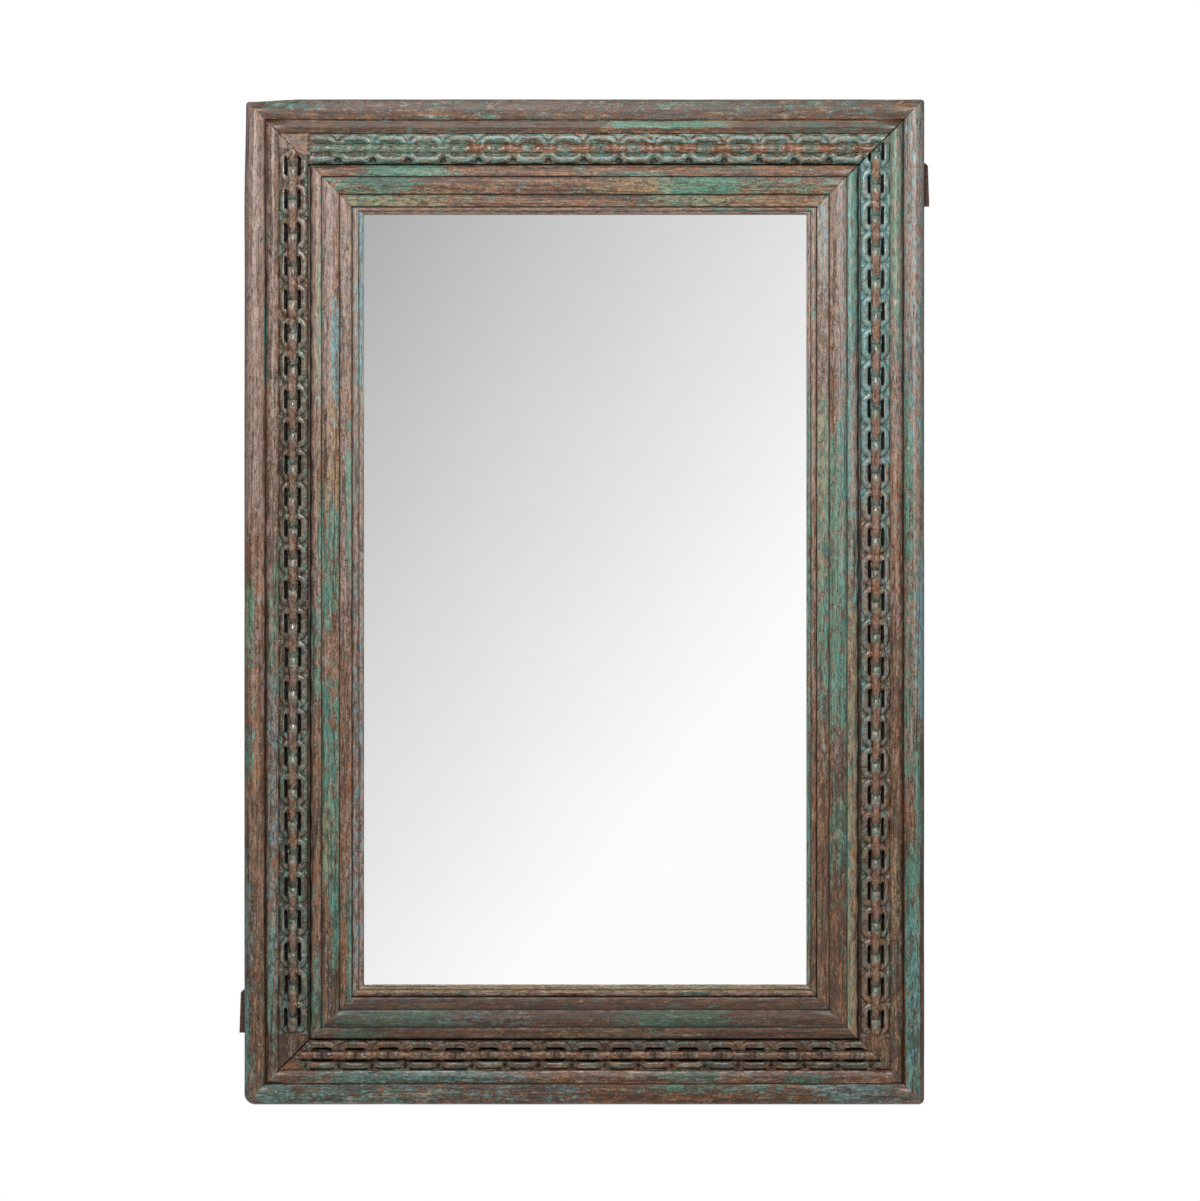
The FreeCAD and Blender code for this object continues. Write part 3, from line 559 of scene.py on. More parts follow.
# %% Carve the outer members
OUTER_SECTION = [
    (0, 19, 4, 0), (0, 51, 0.8, 3.1), (9.7, 64.9, 0.8, 1.7), (23.4, 58.2, 0.7, 0),
    (24.4, 54.6, 0.6, 0), (25.6, 56.6, 0.75, 4.9), (40, 56.4, 0.8, 0), (40, 52, 3, 0),
    (40, 41, 12, 0), (124.5, 41, 6, 0), (124.5, 25, 6, 0), (112.5, 25, 4, 0), (112.5, 19, 14, 0),
]
FLAT_OUTER = (
    (0, 1.0, 2.4, 12, 23.4, 24.3, 25.2, 33, 39.4, 40),
    (51, 58, 61.4, 62.4, 61.8, 60.2, 61.0, 61.0, 59.0, 56.4),
)
OUTER_WAVES, OUTER_KNOCKS = ((120, 18, 0.4), (17, 6, 0.224)), (26, 7, 0.42, 0.75, 0.5, 1.3)
CHANNEL, GROOVE, FOREMOST, WORN_OFF = 40.0, 24.4, 65.1, 0.35
section = outline(OUTER_SECTION)
section = softened(section, 2, (section[1] > 50) & (section[0] < CHANNEL))
for k, side in enumerate(SIDES):
    u, h, l = lay_along(side, section, round(LENGTHS[side] / 2.0))
    h = planed(side, u, h, l, FLAT_OUTER, CHANNEL - 0.05)
    hollow, arris = relief_marks(h, 3)
    # Dirt and painted shade along the groove, on top of the hollows.
    hollow = np.maximum(hollow, dirt_and_shade_lines(u, [(GROOVE, 0.45 if side in RAILS else 0.9)]))
    front = ease(h, 45, 52) * (u < CHANNEL + 1) * away_from_mitre(side, u, l)
    marks = tool_marks(u, l, arris, 100 + k, OUTER_WAVES, OUTER_KNOCKS)
    h = np.minimum(h + (marks - WORN_OFF) * front, FOREMOST)
    wander = rough(l / 90, h / 20, 130 + k) * 0.5 * front
    u = np.where(u < CHANNEL, np.clip(u + wander, 0, 60), u)
    kind = "rail" if side in RAILS else "stile"
    finish_piece(side, f"outer_{kind}_{side}", "old_timber", u, h, l, hollow, arris)
print("outer members:", tally("old_timber"))

# %% [markdown]
# ## The carved chain
# A strip in the channel is carved as a chain: links lying flat, each with a slot through it on
# both sides, and between them links on edge that look like short rods running from the middle
# of one flat link to the middle of the next. Seen from the front every point has one height,
# so the carving is a height over the plan. On the stiles the rods are barrels that are fullest
# near their upper end and dive at the lower one, which is why each catches a bright dot. On the
# rails they have a collar at each end. A pale painted highlight is laid on each dot and collar.

# %% Links, rods, slots and notches
CHAIN_LOW, CHAIN_HIGH, CHAIN_MIDDLE = 40.15, 74.2, 57.4
PITCH = {"left": (37.8, -0.27), "right": (37.8, 0.0), "top": (40.8, 0.5), "bottom": (38.7, 0.11)}
CREEP = {
    "left": (
        (-506, -351, -235, -118, -14, 102, 400),
        (-0.13, -0.02, 0.04, 0.05, -0.11, 0.0, 0.03),
    ),
    "right": ((-400, -323, 0, 261, 412, 485), (0.17, 0.10, 0.0, -0.07, -0.08, -0.16)),
    "top": ((0,), (0.02,)),
    "bottom": ((0,), (0.01,)),
}
CARVING = {"left": (3.9, 56.0), "right": (4.1, 56.0), "top": (2.0, 57.3), "bottom": (2.7, 56.2)}
CARVED_TO = {"left": (-526, 500), "right": (-503, 999), "top": (-999, 320), "bottom": (-330, 999)}
ROD_ASIDE = {"left": 1.3, "right": 1.3, "top": 0.0, "bottom": 0.0}
SLOT_HALF = {"left": 1.85, "right": 1.65, "top": 1.7, "bottom": 1.25}
DOWNWARD = {"left": 1, "right": -1, "top": 1, "bottom": 1}


def link_count(side, l):
    """Links counted from the side's middle, whole at a link's centre. The carver stepped them
    out by eye, so they creep a little ahead of the pitch or behind it."""
    pitch, shift = PITCH[side]
    return l / pitch - shift - np.interp(l, *CREEP[side])


def rod_shape(side, s):
    """Crest and half width of a rod at a share s of its length. On the rails it has a collar
    near each end. On the stiles it is fullest near its upper end and dives at the lower one."""
    if side in RAILS:
        collars = hump(s, 0.2, 0.11) + hump(s, 0.8, 0.11)
        crest = 59.5 + 1.4 * collars + 0.3 * np.sin(np.pi * np.clip(s, 0, 1))
        crest = crest - 1.6 * (1 - ease(s, 0.0, 0.03)) - 1.6 * ease(s, 0.97, 1.0)
        return crest, 5.0 - 0.5 * np.sin(np.pi * s)
    crest = 60.4 + 3.1 * hump(s, 0.22, 0.24) - 3.4 * ease(s, 0.66, 1.0)
    crest = crest - 3.5 * (1 - ease(s, 0.004, 0.035))
    return crest, 6.0 - 1.4 * ease(s, 0.26, 0.42) - 1.2 * ease(s, 0.86, 1.0)


def slot_cut(side, a, b):
    """Depth cut beside the rods: lens-shaped slots, deep on the stiles and shallow on the top.
    The bottom has a slot on one side only, and a straight groove and short nicks on the other."""
    reach = PITCH[side][0] / 2 - 7.7
    ends = (np.abs(b) / reach) ** 4
    if side == "top":
        lens = ((np.abs(a) - 7.3) / SLOT_HALF[side]) ** 2 + ends
        return 1.1 * (1 - ease(lens, 0.3, 1.2))
    if side == "bottom":
        lens = ((a - 7.6) / SLOT_HALF[side]) ** 2 + ends
        groove = 4.2 * (1 - ease(np.abs(a + 6.6), 0.5, 1.4))
        nick = 2.2 * (1 - ease(np.abs(a + 16.0), 0.4, 1.1)) * ease(np.abs(b), 15.5, 12.0)
        return 5.0 * (1 - ease(lens, 0.45, 1.15)) + groove + nick
    lens = ((np.abs(a) - 7.7 - 0.4 * (b / reach) ** 2) / SLOT_HALF[side]) ** 2 + ends
    return 8.0 * (1 - ease(lens, 0.55, 1.15))


def notch_cut(side, a, b):
    """Depth of the notches at the strip's edges where two flat links meet."""
    notch = np.abs(np.abs(b) - PITCH[side][0] / 2)
    deep = {"top": 4.5 * (a > 0), "bottom": 2.8 * (a < 0)}.get(side, 1.0)
    wide = 0.5 + (0.5 * np.clip(a - 10, 0, 6) if side == "top" else 0)
    at_edge = ease(np.abs(a), 9.5, 12.5) * (1 - ease(np.abs(a), 15, 17))
    return deep * (1 - ease(notch, wide, wide + 1.7)) * at_edge


print("rod at its middle:", [float(x) for x in rod_shape("left", np.float64(0.5))])

# %% [markdown]
# ## The whole height of the chain
# Each link is a little different, so four seeded numbers go with it: how far it lies aside, how
# broad it is, how proud it stands and how tall its rod is. Where the carver stopped, the strip
# is plain.

# %% Put links, rods and cuts together
LINK_DRAWS = 64
LINK_HALF, LINK_BEND, BAND_HALF, ROD_ROUND = 12.2, 9.0, 4.8, 0.85
PLAIN_HEIGHT, DEEPEST, PROUDEST = 57.2, 44.0, 64.5


def chain_height(side, u, l):
    """Height of the carved chain, the place along each rod, the distance from its middle line
    and where the strip is plain. Flat links are a half-round band about a rounded rectangle
    and rods are half-round barrels along the middle line. The highest of links, rods and ground
    is kept, and the slots and notches are then taken off."""
    pitch, number = PITCH[side][0], SIDES.index(side)
    count = link_count(side, l)
    link = np.round(count)
    b = (count - link) * pitch * DOWNWARD[side]
    draws = np.random.default_rng(200 + number).uniform(-1, 1, (4, LINK_DRAWS))
    aside, broad, proud, tall = draws[:, link.astype(int) % LINK_DRAWS]
    a = u - CHAIN_MIDDLE + 0.35 * aside
    half_w, half_l = LINK_HALF + 0.25 * broad, (pitch - 1.0) / 2 - 3.4
    x, y = np.abs(a) - (half_w - LINK_BEND), np.abs(b) - (half_l - LINK_BEND)
    apart = np.hypot(np.maximum(x, 0), np.maximum(y, 0)) + np.minimum(np.maximum(x, y), 0)
    rise, floor_h = CARVING[side]
    ground = floor_h + 0.3 * rough(l / 9, u / 9, 210 + number)
    band = np.sqrt(np.clip(1 - ((apart - LINK_BEND) / BAND_HALF) ** 2, 0, 1))
    links = floor_h - 0.2 + (rise + 0.3 * proud) * band
    s = np.where(b >= 0, b / pitch, 1 + b / pitch)
    a = a + ROD_ASIDE[side]
    crest, w = rod_shape(side, s)
    barrel = np.sqrt(np.clip(1 - (a / w) ** 2, 0, 1))
    rods = crest + 0.4 * tall - ROD_ROUND * w * (1 - barrel)
    rods = np.where(np.abs(a) < w, rods, 0)
    trench = (1.5 if side == "top" else 1.9) * (1 - ease(np.abs(np.abs(a) - w - 0.5), 0.4, 1.4))
    h = np.maximum(np.maximum(ground, links) - trench, rods)
    h = h - slot_cut(side, a, b) - notch_cut(side, a, b)
    h = h - 1.6 * (1 - ease(CHAIN_HIGH - u, 0, 1.8)) - 0.4 * (1 - ease(u - CHAIN_LOW, 0, 1.2))
    carved_here = between(l, *CARVED_TO[side], 1.5)
    h = PLAIN_HEIGHT + (h - PLAIN_HEIGHT) * carved_here
    wear = 0.22 * rough(l / 5, u / 5, 220 + number) + 0.2 * rough(l / 40, u / 12, 230)
    return np.clip(h + wear, DEEPEST, PROUDEST), s, a, 1 - carved_here


sample = chain_height("left", np.array([[57.6]]), np.array([[3.0]]))[0]
print("height at a link's middle:", float(sample[0, 0]))

# %% [markdown]
# ## Lay the chain in its channel
# The grid has a point about every 0.75 mm, fine enough for the slots' edges. Rubbing bares the
# crowns of the rods and the paint stays at their ends, so those levels are set here from the
# place along each rod.

# %% Skin the chain strips
CHAIN_FOOT = 41.2
CHAIN_PAINTS = ("turquoise", "rust", "bloom", "dark", "blue")
LINK_SHIFT = {
    # The left stile's flat links get more dark stain than the rods, partly as painted shade, since
    # they lie lower.
    "left": (0.12, -0.08, -0.10, 0.08, 0.05),
    "right": (0.06, 0.0, 0.03, 0.0, 0.05),
    "top": (0.0, -0.14, 0.08, -0.08, 0.0),
    "bottom": (0.07, 0.0, -0.06, 0.02, 0.0),
}
ROD_SHAFT_AND_ENDS = {
    "left": ((0.37, 0.56), (0.52, 0.38), (0.48, 0.48), (0.18, 0.44), (0.24, 0.42)),
    "right": ((0.30, 0.60), (0.82, 0.40), (0.48, 0.46), (0.04, 0.40), (0.24, 0.40)),
    # On the top rail the bloom and blue at the rod ends are partly painted glints.
    "top": ((0.34, 0.52), (0.74, 0.40), (0.36, 0.62), (0.22, 0.26), (0.24, 0.44)),
    "bottom": ((0.30, 0.42), (0.52, 0.40), (0.42, 0.52), (0.36, 0.46), (0.24, 0.36)),
}
across = np.linspace(CHAIN_LOW, CHAIN_HIGH, 47)
plan = np.concatenate([[CHAIN_LOW], across, [CHAIN_HIGH]])
foot = np.stack([plan, np.full_like(plan, CHAIN_FOOT)])
for side in SIDES:
    u, h, l = lay_along(side, foot, round((LENGTHS[side] - 80) / 0.78))
    wander = 0.45 * rough(l / 30, l * 0, 240 + SIDES.index(side)) * away_from_mitre(side, u, l)
    snug = 0.8 if side in RAILS else 0.0
    u = np.where(u > CHAIN_HIGH - 0.01, u + wander * (1 - snug) + snug, u)
    top, s, a, plain = chain_height(side, u, l)
    h[:, 1:-1] = top[:, 1:-1]
    inner = h[:, 1:-1]
    rest = blurred(blurred(blurred(blurred(inner, 4), 4), 5, 0), 5, 0)
    # Hollows of the carving: dirt and painted shade in the slots and notches.
    hollow, arris = np.zeros_like(h), np.zeros_like(h)
    hollow[:, 1:-1] = np.clip((rest - inner - 0.9) / 2.2, 0, 1.8)
    arris[:, 1:-1] = np.clip((inner - rest - 0.5) / 2.4, 0, 1)
    on_rod = (np.abs(a) < 5.2) & (h > 56)
    # Painted highlight: the arris mark is raised at each rod's glint, near the upper end on the
    # stiles and at both collars on the top rail, so the finish lays the pale rubbed colour there.
    glint = hump(s, 0.24, 0.06)
    if side == "top":
        glint = hump(s, 0.16, 0.05) + hump(s, 0.84, 0.05)
    arris = np.maximum(arris, 1.7 * on_rod * glint * (np.abs(a) < 2.6))
    node = f"chain_strip_{side}"
    piece = finish_piece(side, node, "carved_timber", u, h, l, hollow, arris, plain)
    s = s + 0.07 * rough(l / 6, u / 4, 250)
    shaft = on_rod * ease(s, 0.22, 0.36) * (1 - ease(s, 0.80, 0.94))
    tail = on_rod * ease(s, 0.70, 0.90)
    levels = zip(CHAIN_PAINTS, LINK_SHIFT[side], ROD_SHAFT_AND_ENDS[side])
    for paint, shift, (on_shaft, at_ends) in levels:
        store = piece.data.attributes[paint].data
        level = np.zeros(u.size, np.float32)
        store.foreach_get("value", level)
        level = level.reshape(u.shape)
        rod_level = on_shaft * shaft + at_ends * (1 - shaft)
        # More dark stain on each rod's lower end: partly painted shade where it dives under the next
        # link.
        if paint == "dark":
            rod_level = rod_level + 0.08 * tail
        if side == "top" and paint == "turquoise":
            left_third = 1 - ease(along_picture(side, l), 0.29, 0.34)
            rod_level = rod_level + 0.34 * shaft * left_third
        level = np.where(on_rod, level * 0.3 + 0.7 * rod_level, level + shift)
        if paint in ("turquoise", "blue"):
            level = level - 0.18 * plain
        store.foreach_set("value", level.astype(np.float32).ravel())
print("chain strips:", tally("carved_timber"))

# %% [markdown]
# ## The stepped inner moulding
# Three fascias step down toward the glass: a narrow rounded one beside the chain, a broad
# swelling one, and a flat one. The carver's chisel left the first one's outer edge scalloped
# opposite the links, which shows as a dark line of changing width.

# %% Carve the inner mouldings
INNER_SECTION = [
    (76, 41, 4, 0), (76, 54.6, 0.8, 2.6), (86, 62, 0.8, 0), (89.6, 61.2, 0.7, 0),
    (90.2, 57.0, 0.8, 2.5), (110, 54.2, 0.7, 0), (110.8, 50.8, 0.9, 0.35),
    (124.3, 49.6, 1.2, 0), (124.5, 41, 8, 0),
]
FLAT_INNER = (
    (76, 77.2, 80, 86, 89.4, 90.3, 100, 109.8, 110.8),
    (54.6, 59.0, 60.6, 61.6, 61.3, 57.0, 56.7, 55.0, 50.8),
)
INNER_LINES = [(76.4, 1.25), (90.0, 0.7), (110.6, 0.7)]
INNER_WAVES, INNER_KNOCKS = ((110, 14, 0.4), (15, 5, 0.208)), (24, 6, 0.42, 0.75, 0.4, 1.3)
section = outline(INNER_SECTION)
section = softened(section, 2, section[1] > 46)
for k, side in enumerate(SIDES):
    u, h, l = lay_along(side, section, round((LENGTHS[side] - 150) / 1.9))
    h = planed(side, u, h, l, FLAT_INNER, 110.4)
    hollow, arris = relief_marks(h, 3)
    # Dirt and painted shade along the steps between the fascias.
    hollow = np.maximum(hollow, dirt_and_shade_lines(u, INNER_LINES))
    front = ease(h, 44, 49) * away_from_mitre(side, u, l)
    h = h + tool_marks(u, l, arris, 300 + k, INNER_WAVES, INNER_KNOCKS) * front
    scallop = 0.45 * (1 + np.cos(2 * np.pi * link_count(side, l)))
    scallop = np.clip(scallop + 0.5 * rough(l / 33, l * 0, 330 + k) + 0.35, 0, 2.4)
    u = u + scallop * (0.15 if side in RAILS else 1) * (1 - ease(u, 77, 84)) * front
    finish_piece(side, f"inner_moulding_{side}", "painted_timber", u, h, l, hollow, arris)
print("inner mouldings:", tally("painted_timber"))

# %% [markdown]
# ## The slip round the mirror
# A thin bead holds the glass from the front. It has a small quirk, then a rounded face that
# falls to the sight edge, and the mirror doubles its inner wall as a fine dark line.

# %% Carve the slips
SLIP_FROM, SLIP_TO = 124.6, 137.0
SLIP_SECTION = [
    (SLIP_FROM, 30.05, 3, 0), (SLIP_FROM, 43.6, 0.6, 0), (125.6, 45, 0.7, 1.5),
    (131.8, 44.4, 0.5, 0), (132.4, 43.0, 0.6, 0.5), (136.4, 41.3, 0.6, 0),
    (SLIP_TO, 40.0, 1.2, 0), (SLIP_TO, 30.05, 6, 0),
]
SLIP_LINES = [(124.4, 1.1), (132.1, 0.5)]
SLIP_WAVES, SLIP_KNOCKS = ((90, 8, 0.3), (13, 4, 0.16)), (22, 5, 0.45, 0.8, 0.2, 0.8)
SIGHT = {"left": 138.4, "right": 136.4, "top": 133.2, "bottom": 138.6}
ENDS = {
    "left": ("top", "bottom"), "right": ("bottom", "top"),
    "top": ("right", "left"), "bottom": ("left", "right"),
}


def sight_width(side, u):
    """The slip's u stretched so that its inner edge lies at that side's own sight width."""
    return SLIP_FROM + (u - SLIP_FROM) * (SIGHT[side] - SLIP_FROM) / (SLIP_TO - SLIP_FROM)


section = outline(SLIP_SECTION)
section = softened(section, 1, section[1] > 38)
for k, side in enumerate(SIDES):
    u, h, l = lay_along(side, section, round((LENGTHS[side] - 250) / 2.4))
    hollow, arris = relief_marks(h, 2)
    # Dirt and painted shade in the quirk and at the step by the sight edge.
    hollow = np.maximum(hollow, dirt_and_shade_lines(u, SLIP_LINES))
    front = ease(h, 34, 38) * away_from_mitre(side, u, l)
    before, after = (LENGTHS[side] / 2 - sight_width(other, u) for other in ENDS[side])
    share = l / (LENGTHS[side] / 2 - u)
    l = share * (before + after) / 2 + (after - before) / 2
    u = sight_width(side, u)
    h = h + tool_marks(u, l, arris, 400 + k, SLIP_WAVES, SLIP_KNOCKS) * front
    finish_piece(side, f"sight_slip_{side}", "slip_timber", u, h, l, hollow, arris)
print("slips:", tally("slip_timber"))

# %% [markdown]
# ## Nodes in few words
# A finish is a chain of shader nodes. These small helpers add a node, join it to the sockets
# that feed it and hand back what it puts out, so that a recipe below reads from top to bottom.

# %% Helpers for shader nodes


def colour(red, green, blue):
    """A colour as a paint chart gives it, 0 to 255, turned into the linear light that the
    shader works in: ((c + 0.055) / 1.055) ^ 2.4, or c / 12.92 for the darkest."""
    parts = [c / 255 for c in (red, green, blue)]
    light = [c / 12.92 if c <= 0.04045 else ((c + 0.055) / 1.055) ** 2.4 for c in parts]
    return (*light, 1.0)


def add(tree, kind, settings=None, feeds=None):
    """A node with its settings made, and each input set to a value or joined to a socket."""
    node = tree.nodes.new(kind)
    for key, value in (settings or {}).items():
        setattr(node, key, value)
    for key, value in (feeds or {}).items():
        if isinstance(value, bpy.types.NodeSocket):
            tree.links.new(value, node.inputs[key])
        else:
            node.inputs[key].default_value = value
    return node


def sums(tree, operation, first, second=0.0, clamp=False):
    """One step of arithmetic on two values."""
    settings = {"operation": operation, "use_clamp": clamp}
    return add(tree, "ShaderNodeMath", settings, {0: first, 1: second}).outputs[0]


def times(tree, first, second):
    """One value multiplied by another."""
    return sums(tree, "MULTIPLY", first, second)


def plus(tree, first, second, clamp=False):
    """One value added to another, held between 0 and 1 if clamped."""
    return sums(tree, "ADD", first, second, clamp)


def blend(tree, share, first, second, way="MIX"):
    """Two colours mixed by a share from 0 to 1."""
    settings = {"data_type": "RGBA", "blend_type": way, "clamp_factor": True}
    return add(tree, "ShaderNodeMix", settings, {0: share, 6: first, 7: second}).outputs[2]


def laid(tree, tint, cover, share, paint):
    """A paint over a tint: the cover, cut down to a share, says how much of the paint shows."""
    return blend(tree, times(tree, cover, share), tint, paint)


def span(tree, value, low, high, to_low=0.0, to_high=1.0, way="SMOOTHSTEP"):
    """A value eased from one range to another."""
    feeds = {"Value": value, "From Min": low, "From Max": high, "To Min": to_low, "To Max": to_high}
    return add(tree, "ShaderNodeMapRange", {"interpolation_type": way}, feeds).outputs["Result"]


def clouds(tree, where, stretch, detail=4.0, harshness=0.55):
    """Cloudy noise, stretched: so many cells to the metre along, across and between pieces."""
    feeds = {0: where, 1: stretch}
    scaled = add(tree, "ShaderNodeVectorMath", {"operation": "MULTIPLY"}, feeds).outputs[0]
    feeds = {"Vector": scaled, "Scale": 1.0, "Detail": detail, "Roughness": harshness}
    return add(tree, "ShaderNodeTexNoise", {"noise_dimensions": "3D"}, feeds).outputs[0]


print("turquoise in linear light:", [round(c, 3) for c in colour(96, 172, 154)])

# %% [markdown]
# ## Groups and finishes
# An effect that several timbers share is a node group, begun with what goes in and ended with
# what comes out. A finish begins as a blank material whose shader is then fed.

# %% Helpers for groups and materials


def new_group(name, values):
    """A node group begun: a place in the grain and some named values go in."""
    tree = bpy.data.node_groups.new(name, "ShaderNodeTree")
    tree.interface.new_socket("Grain", in_out="INPUT", socket_type="NodeSocketVector")
    for title in values:
        tree.interface.new_socket(title, in_out="INPUT", socket_type="NodeSocketFloat")
    return tree, tree.nodes.new("NodeGroupInput").outputs


def end_group(tree, masks):
    """A node group ended: each named mask gets an output socket of that name."""
    for title in masks:
        tree.interface.new_socket(title, in_out="OUTPUT", socket_type="NodeSocketFloat")
    add(tree, "NodeGroupOutput", {}, masks)


def use_group(tree, group, feeds):
    """A node that uses a group, and the masks it puts out."""
    return add(tree, "ShaderNodeGroup", {"node_tree": group}, feeds).outputs


def blank_finish(name):
    """A new material, its node tree and its shader, ready to be fed."""
    material = bpy.data.materials.new(name)
    material.use_nodes = True
    return material, material.node_tree, material.node_tree.nodes["Principled BSDF"]


def feed(tree, shader, **sockets):
    """Joins values to the shader's sockets, where Base_Color stands for Base Color."""
    for title, value in sockets.items():
        tree.links.new(value, shader.inputs[title.replace("_", " ")])


def bump(tree, height, strength, distance):
    """Normals that tilt as a surface of that height would."""
    feeds = {"Height": height, "Strength": strength, "Distance": distance}
    return add(tree, "ShaderNodeBump", {}, feeds).outputs["Normal"]


print("materials before mixing:", len(bpy.data.materials))

# %% [markdown]
# ## Three effects that every timber shares
# Old grain: long streaks, short flecks, fine specks, dark cracks and pale threads, all stretched
# along the length, and a slow drift of tone. Flaked paint: a level of paint left becomes a cover
# with ragged, chipped edges and a dark rim, because noise is compared with the level at every
# point. Dirt and rubbing: dirt and painted shade lie in the hollows, and the arrises are rubbed
# pale, which on the raised rod glints is a painted highlight. Each is a node group, built once
# and used by all four timbers.

# %% Build the node groups
BROAD_SHARE, CHIP_SHARE, FLAKE_EDGE = 0.54, 0.46, 0.013
RIM_BEYOND = 0.045, 0.015

grain_group, inside = new_group("old grain", [])
where = inside["Grain"]
crack = clouds(grain_group, where, (9, 420, 1), 3.0, 0.55)
drift = clouds(grain_group, where, (8, 46, 1), 2.0, 0.5)
end_group(grain_group, {
    "Streak": clouds(grain_group, where, (14, 330, 1), 5.0, 0.62),
    "Fleck": clouds(grain_group, where, (110, 600, 1), 3.0, 0.66),
    "Speck": clouds(grain_group, where, (540, 720, 1), 2.0, 0.6),
    "Crack": span(grain_group, crack, 0.59, 0.66),
    "Thread": span(grain_group, crack, 0.38, 0.32),
    "Drift": span(grain_group, drift, 0.40, 0.60),
})

paint_group, inside = new_group("flaked paint", ["Level", "Fineness"])
feeds = {0: inside["Grain"], "Scale": inside["Fineness"]}
sized = add(paint_group, "ShaderNodeVectorMath", {"operation": "SCALE"}, feeds).outputs[0]
broad = times(paint_group, clouds(paint_group, sized, (58, 140, 1), 4.0, 0.62), BROAD_SHARE)
chips = times(paint_group, clouds(paint_group, sized, (260, 450, 1), 3.0, 0.65), CHIP_SHARE)
mixed = plus(paint_group, broad, chips)
steps = (FLAKE_EDGE, -FLAKE_EDGE, *RIM_BEYOND)
high, low, rim_high, rim_low = (plus(paint_group, inside["Level"], step) for step in steps)
cover = span(paint_group, mixed, high, low)
near = span(paint_group, mixed, rim_high, rim_low)
end_group(paint_group, {"Cover": cover, "Rim": sums(paint_group, "SUBTRACT", near, cover, True)})

# Dirt and painted shade in the hollows; rubbing, with painted highlights where the arrises are
# raised.
wear_and_light_group, inside = new_group("dirt, shade, rubbing and highlights", ["Hollow", "Arris"])
patchy = clouds(wear_and_light_group, inside["Grain"], (90, 300, 1), 4.0, 0.6)
end_group(wear_and_light_group, {
    "Dirt and shade": times(wear_and_light_group, inside["Hollow"], span(wear_and_light_group, patchy, 0.2, 0.5, 0.55, 1.0)),
    "Rubbed and highlight": times(wear_and_light_group, inside["Arris"], span(wear_and_light_group, patchy, 0.42, 0.60)),
})
print("node groups:", [group.name for group in (grain_group, paint_group, wear_and_light_group)])

# %% [markdown]
# ## The timbers
# One recipe serves all four, with its own numbers for each. Bare wood comes first, then rusty
# brown, a dusty pale bloom, turquoise, pale blue and cream, each laid over the last by its
# cover. Rubbing with painted highlights, specks, dust and cracks follow, then a dark stain and a
# painted shade where the wax is lost, and dirt with painted shade comes at the end. The gloss
# is that of a waxed board: satin, duller where the wax is lost or dirt lies. A low bump carries
# the grain that is too fine for the mesh.

# %% Mix the timbers
WHITE = colour(255, 255, 255)
BROWNS = colour(54, 38, 27), colour(110, 84, 61), colour(158, 130, 102)
CARVED_BROWNS = colour(58, 47, 36), colour(104, 88, 68), colour(150, 134, 110)
WARM_BROWN = colour(98, 66, 46)
RUST = colour(112, 69, 43), colour(180, 120, 78)
BLOOM = colour(146, 112, 101), colour(210, 190, 180)
GREEN = colour(58, 115, 100), colour(104, 175, 158)
OLIVE = colour(92, 112, 78), colour(150, 166, 128)
THICK_GREEN, FLAKE_RIM = colour(74, 164, 140), colour(52, 37, 28)
SKY = colour(84, 144, 154), colour(150, 202, 207)
CREAM, RUBBED_AND_HIGHLIGHT = colour(176, 156, 112), colour(196, 176, 160)
FLECK_GREY, SPECK_GREY = colour(130, 126, 122), colour(128, 122, 116)
DUST, GRIT = colour(200, 192, 180), colour(206, 200, 188)
CRACK, THREAD = colour(38, 28, 23), colour(196, 182, 158)
STAIN, LOW_SHEEN_SHADE, DIRT_AND_SHADE = colour(54, 42, 35), colour(248, 241, 234), colour(24, 18, 15)


def mark(tree, name):
    """A value or vector kept on the points of the piece."""
    node = add(tree, "ShaderNodeAttribute", {"attribute_name": name})
    return node.outputs["Vector" if name == "grain" else "Fac"]


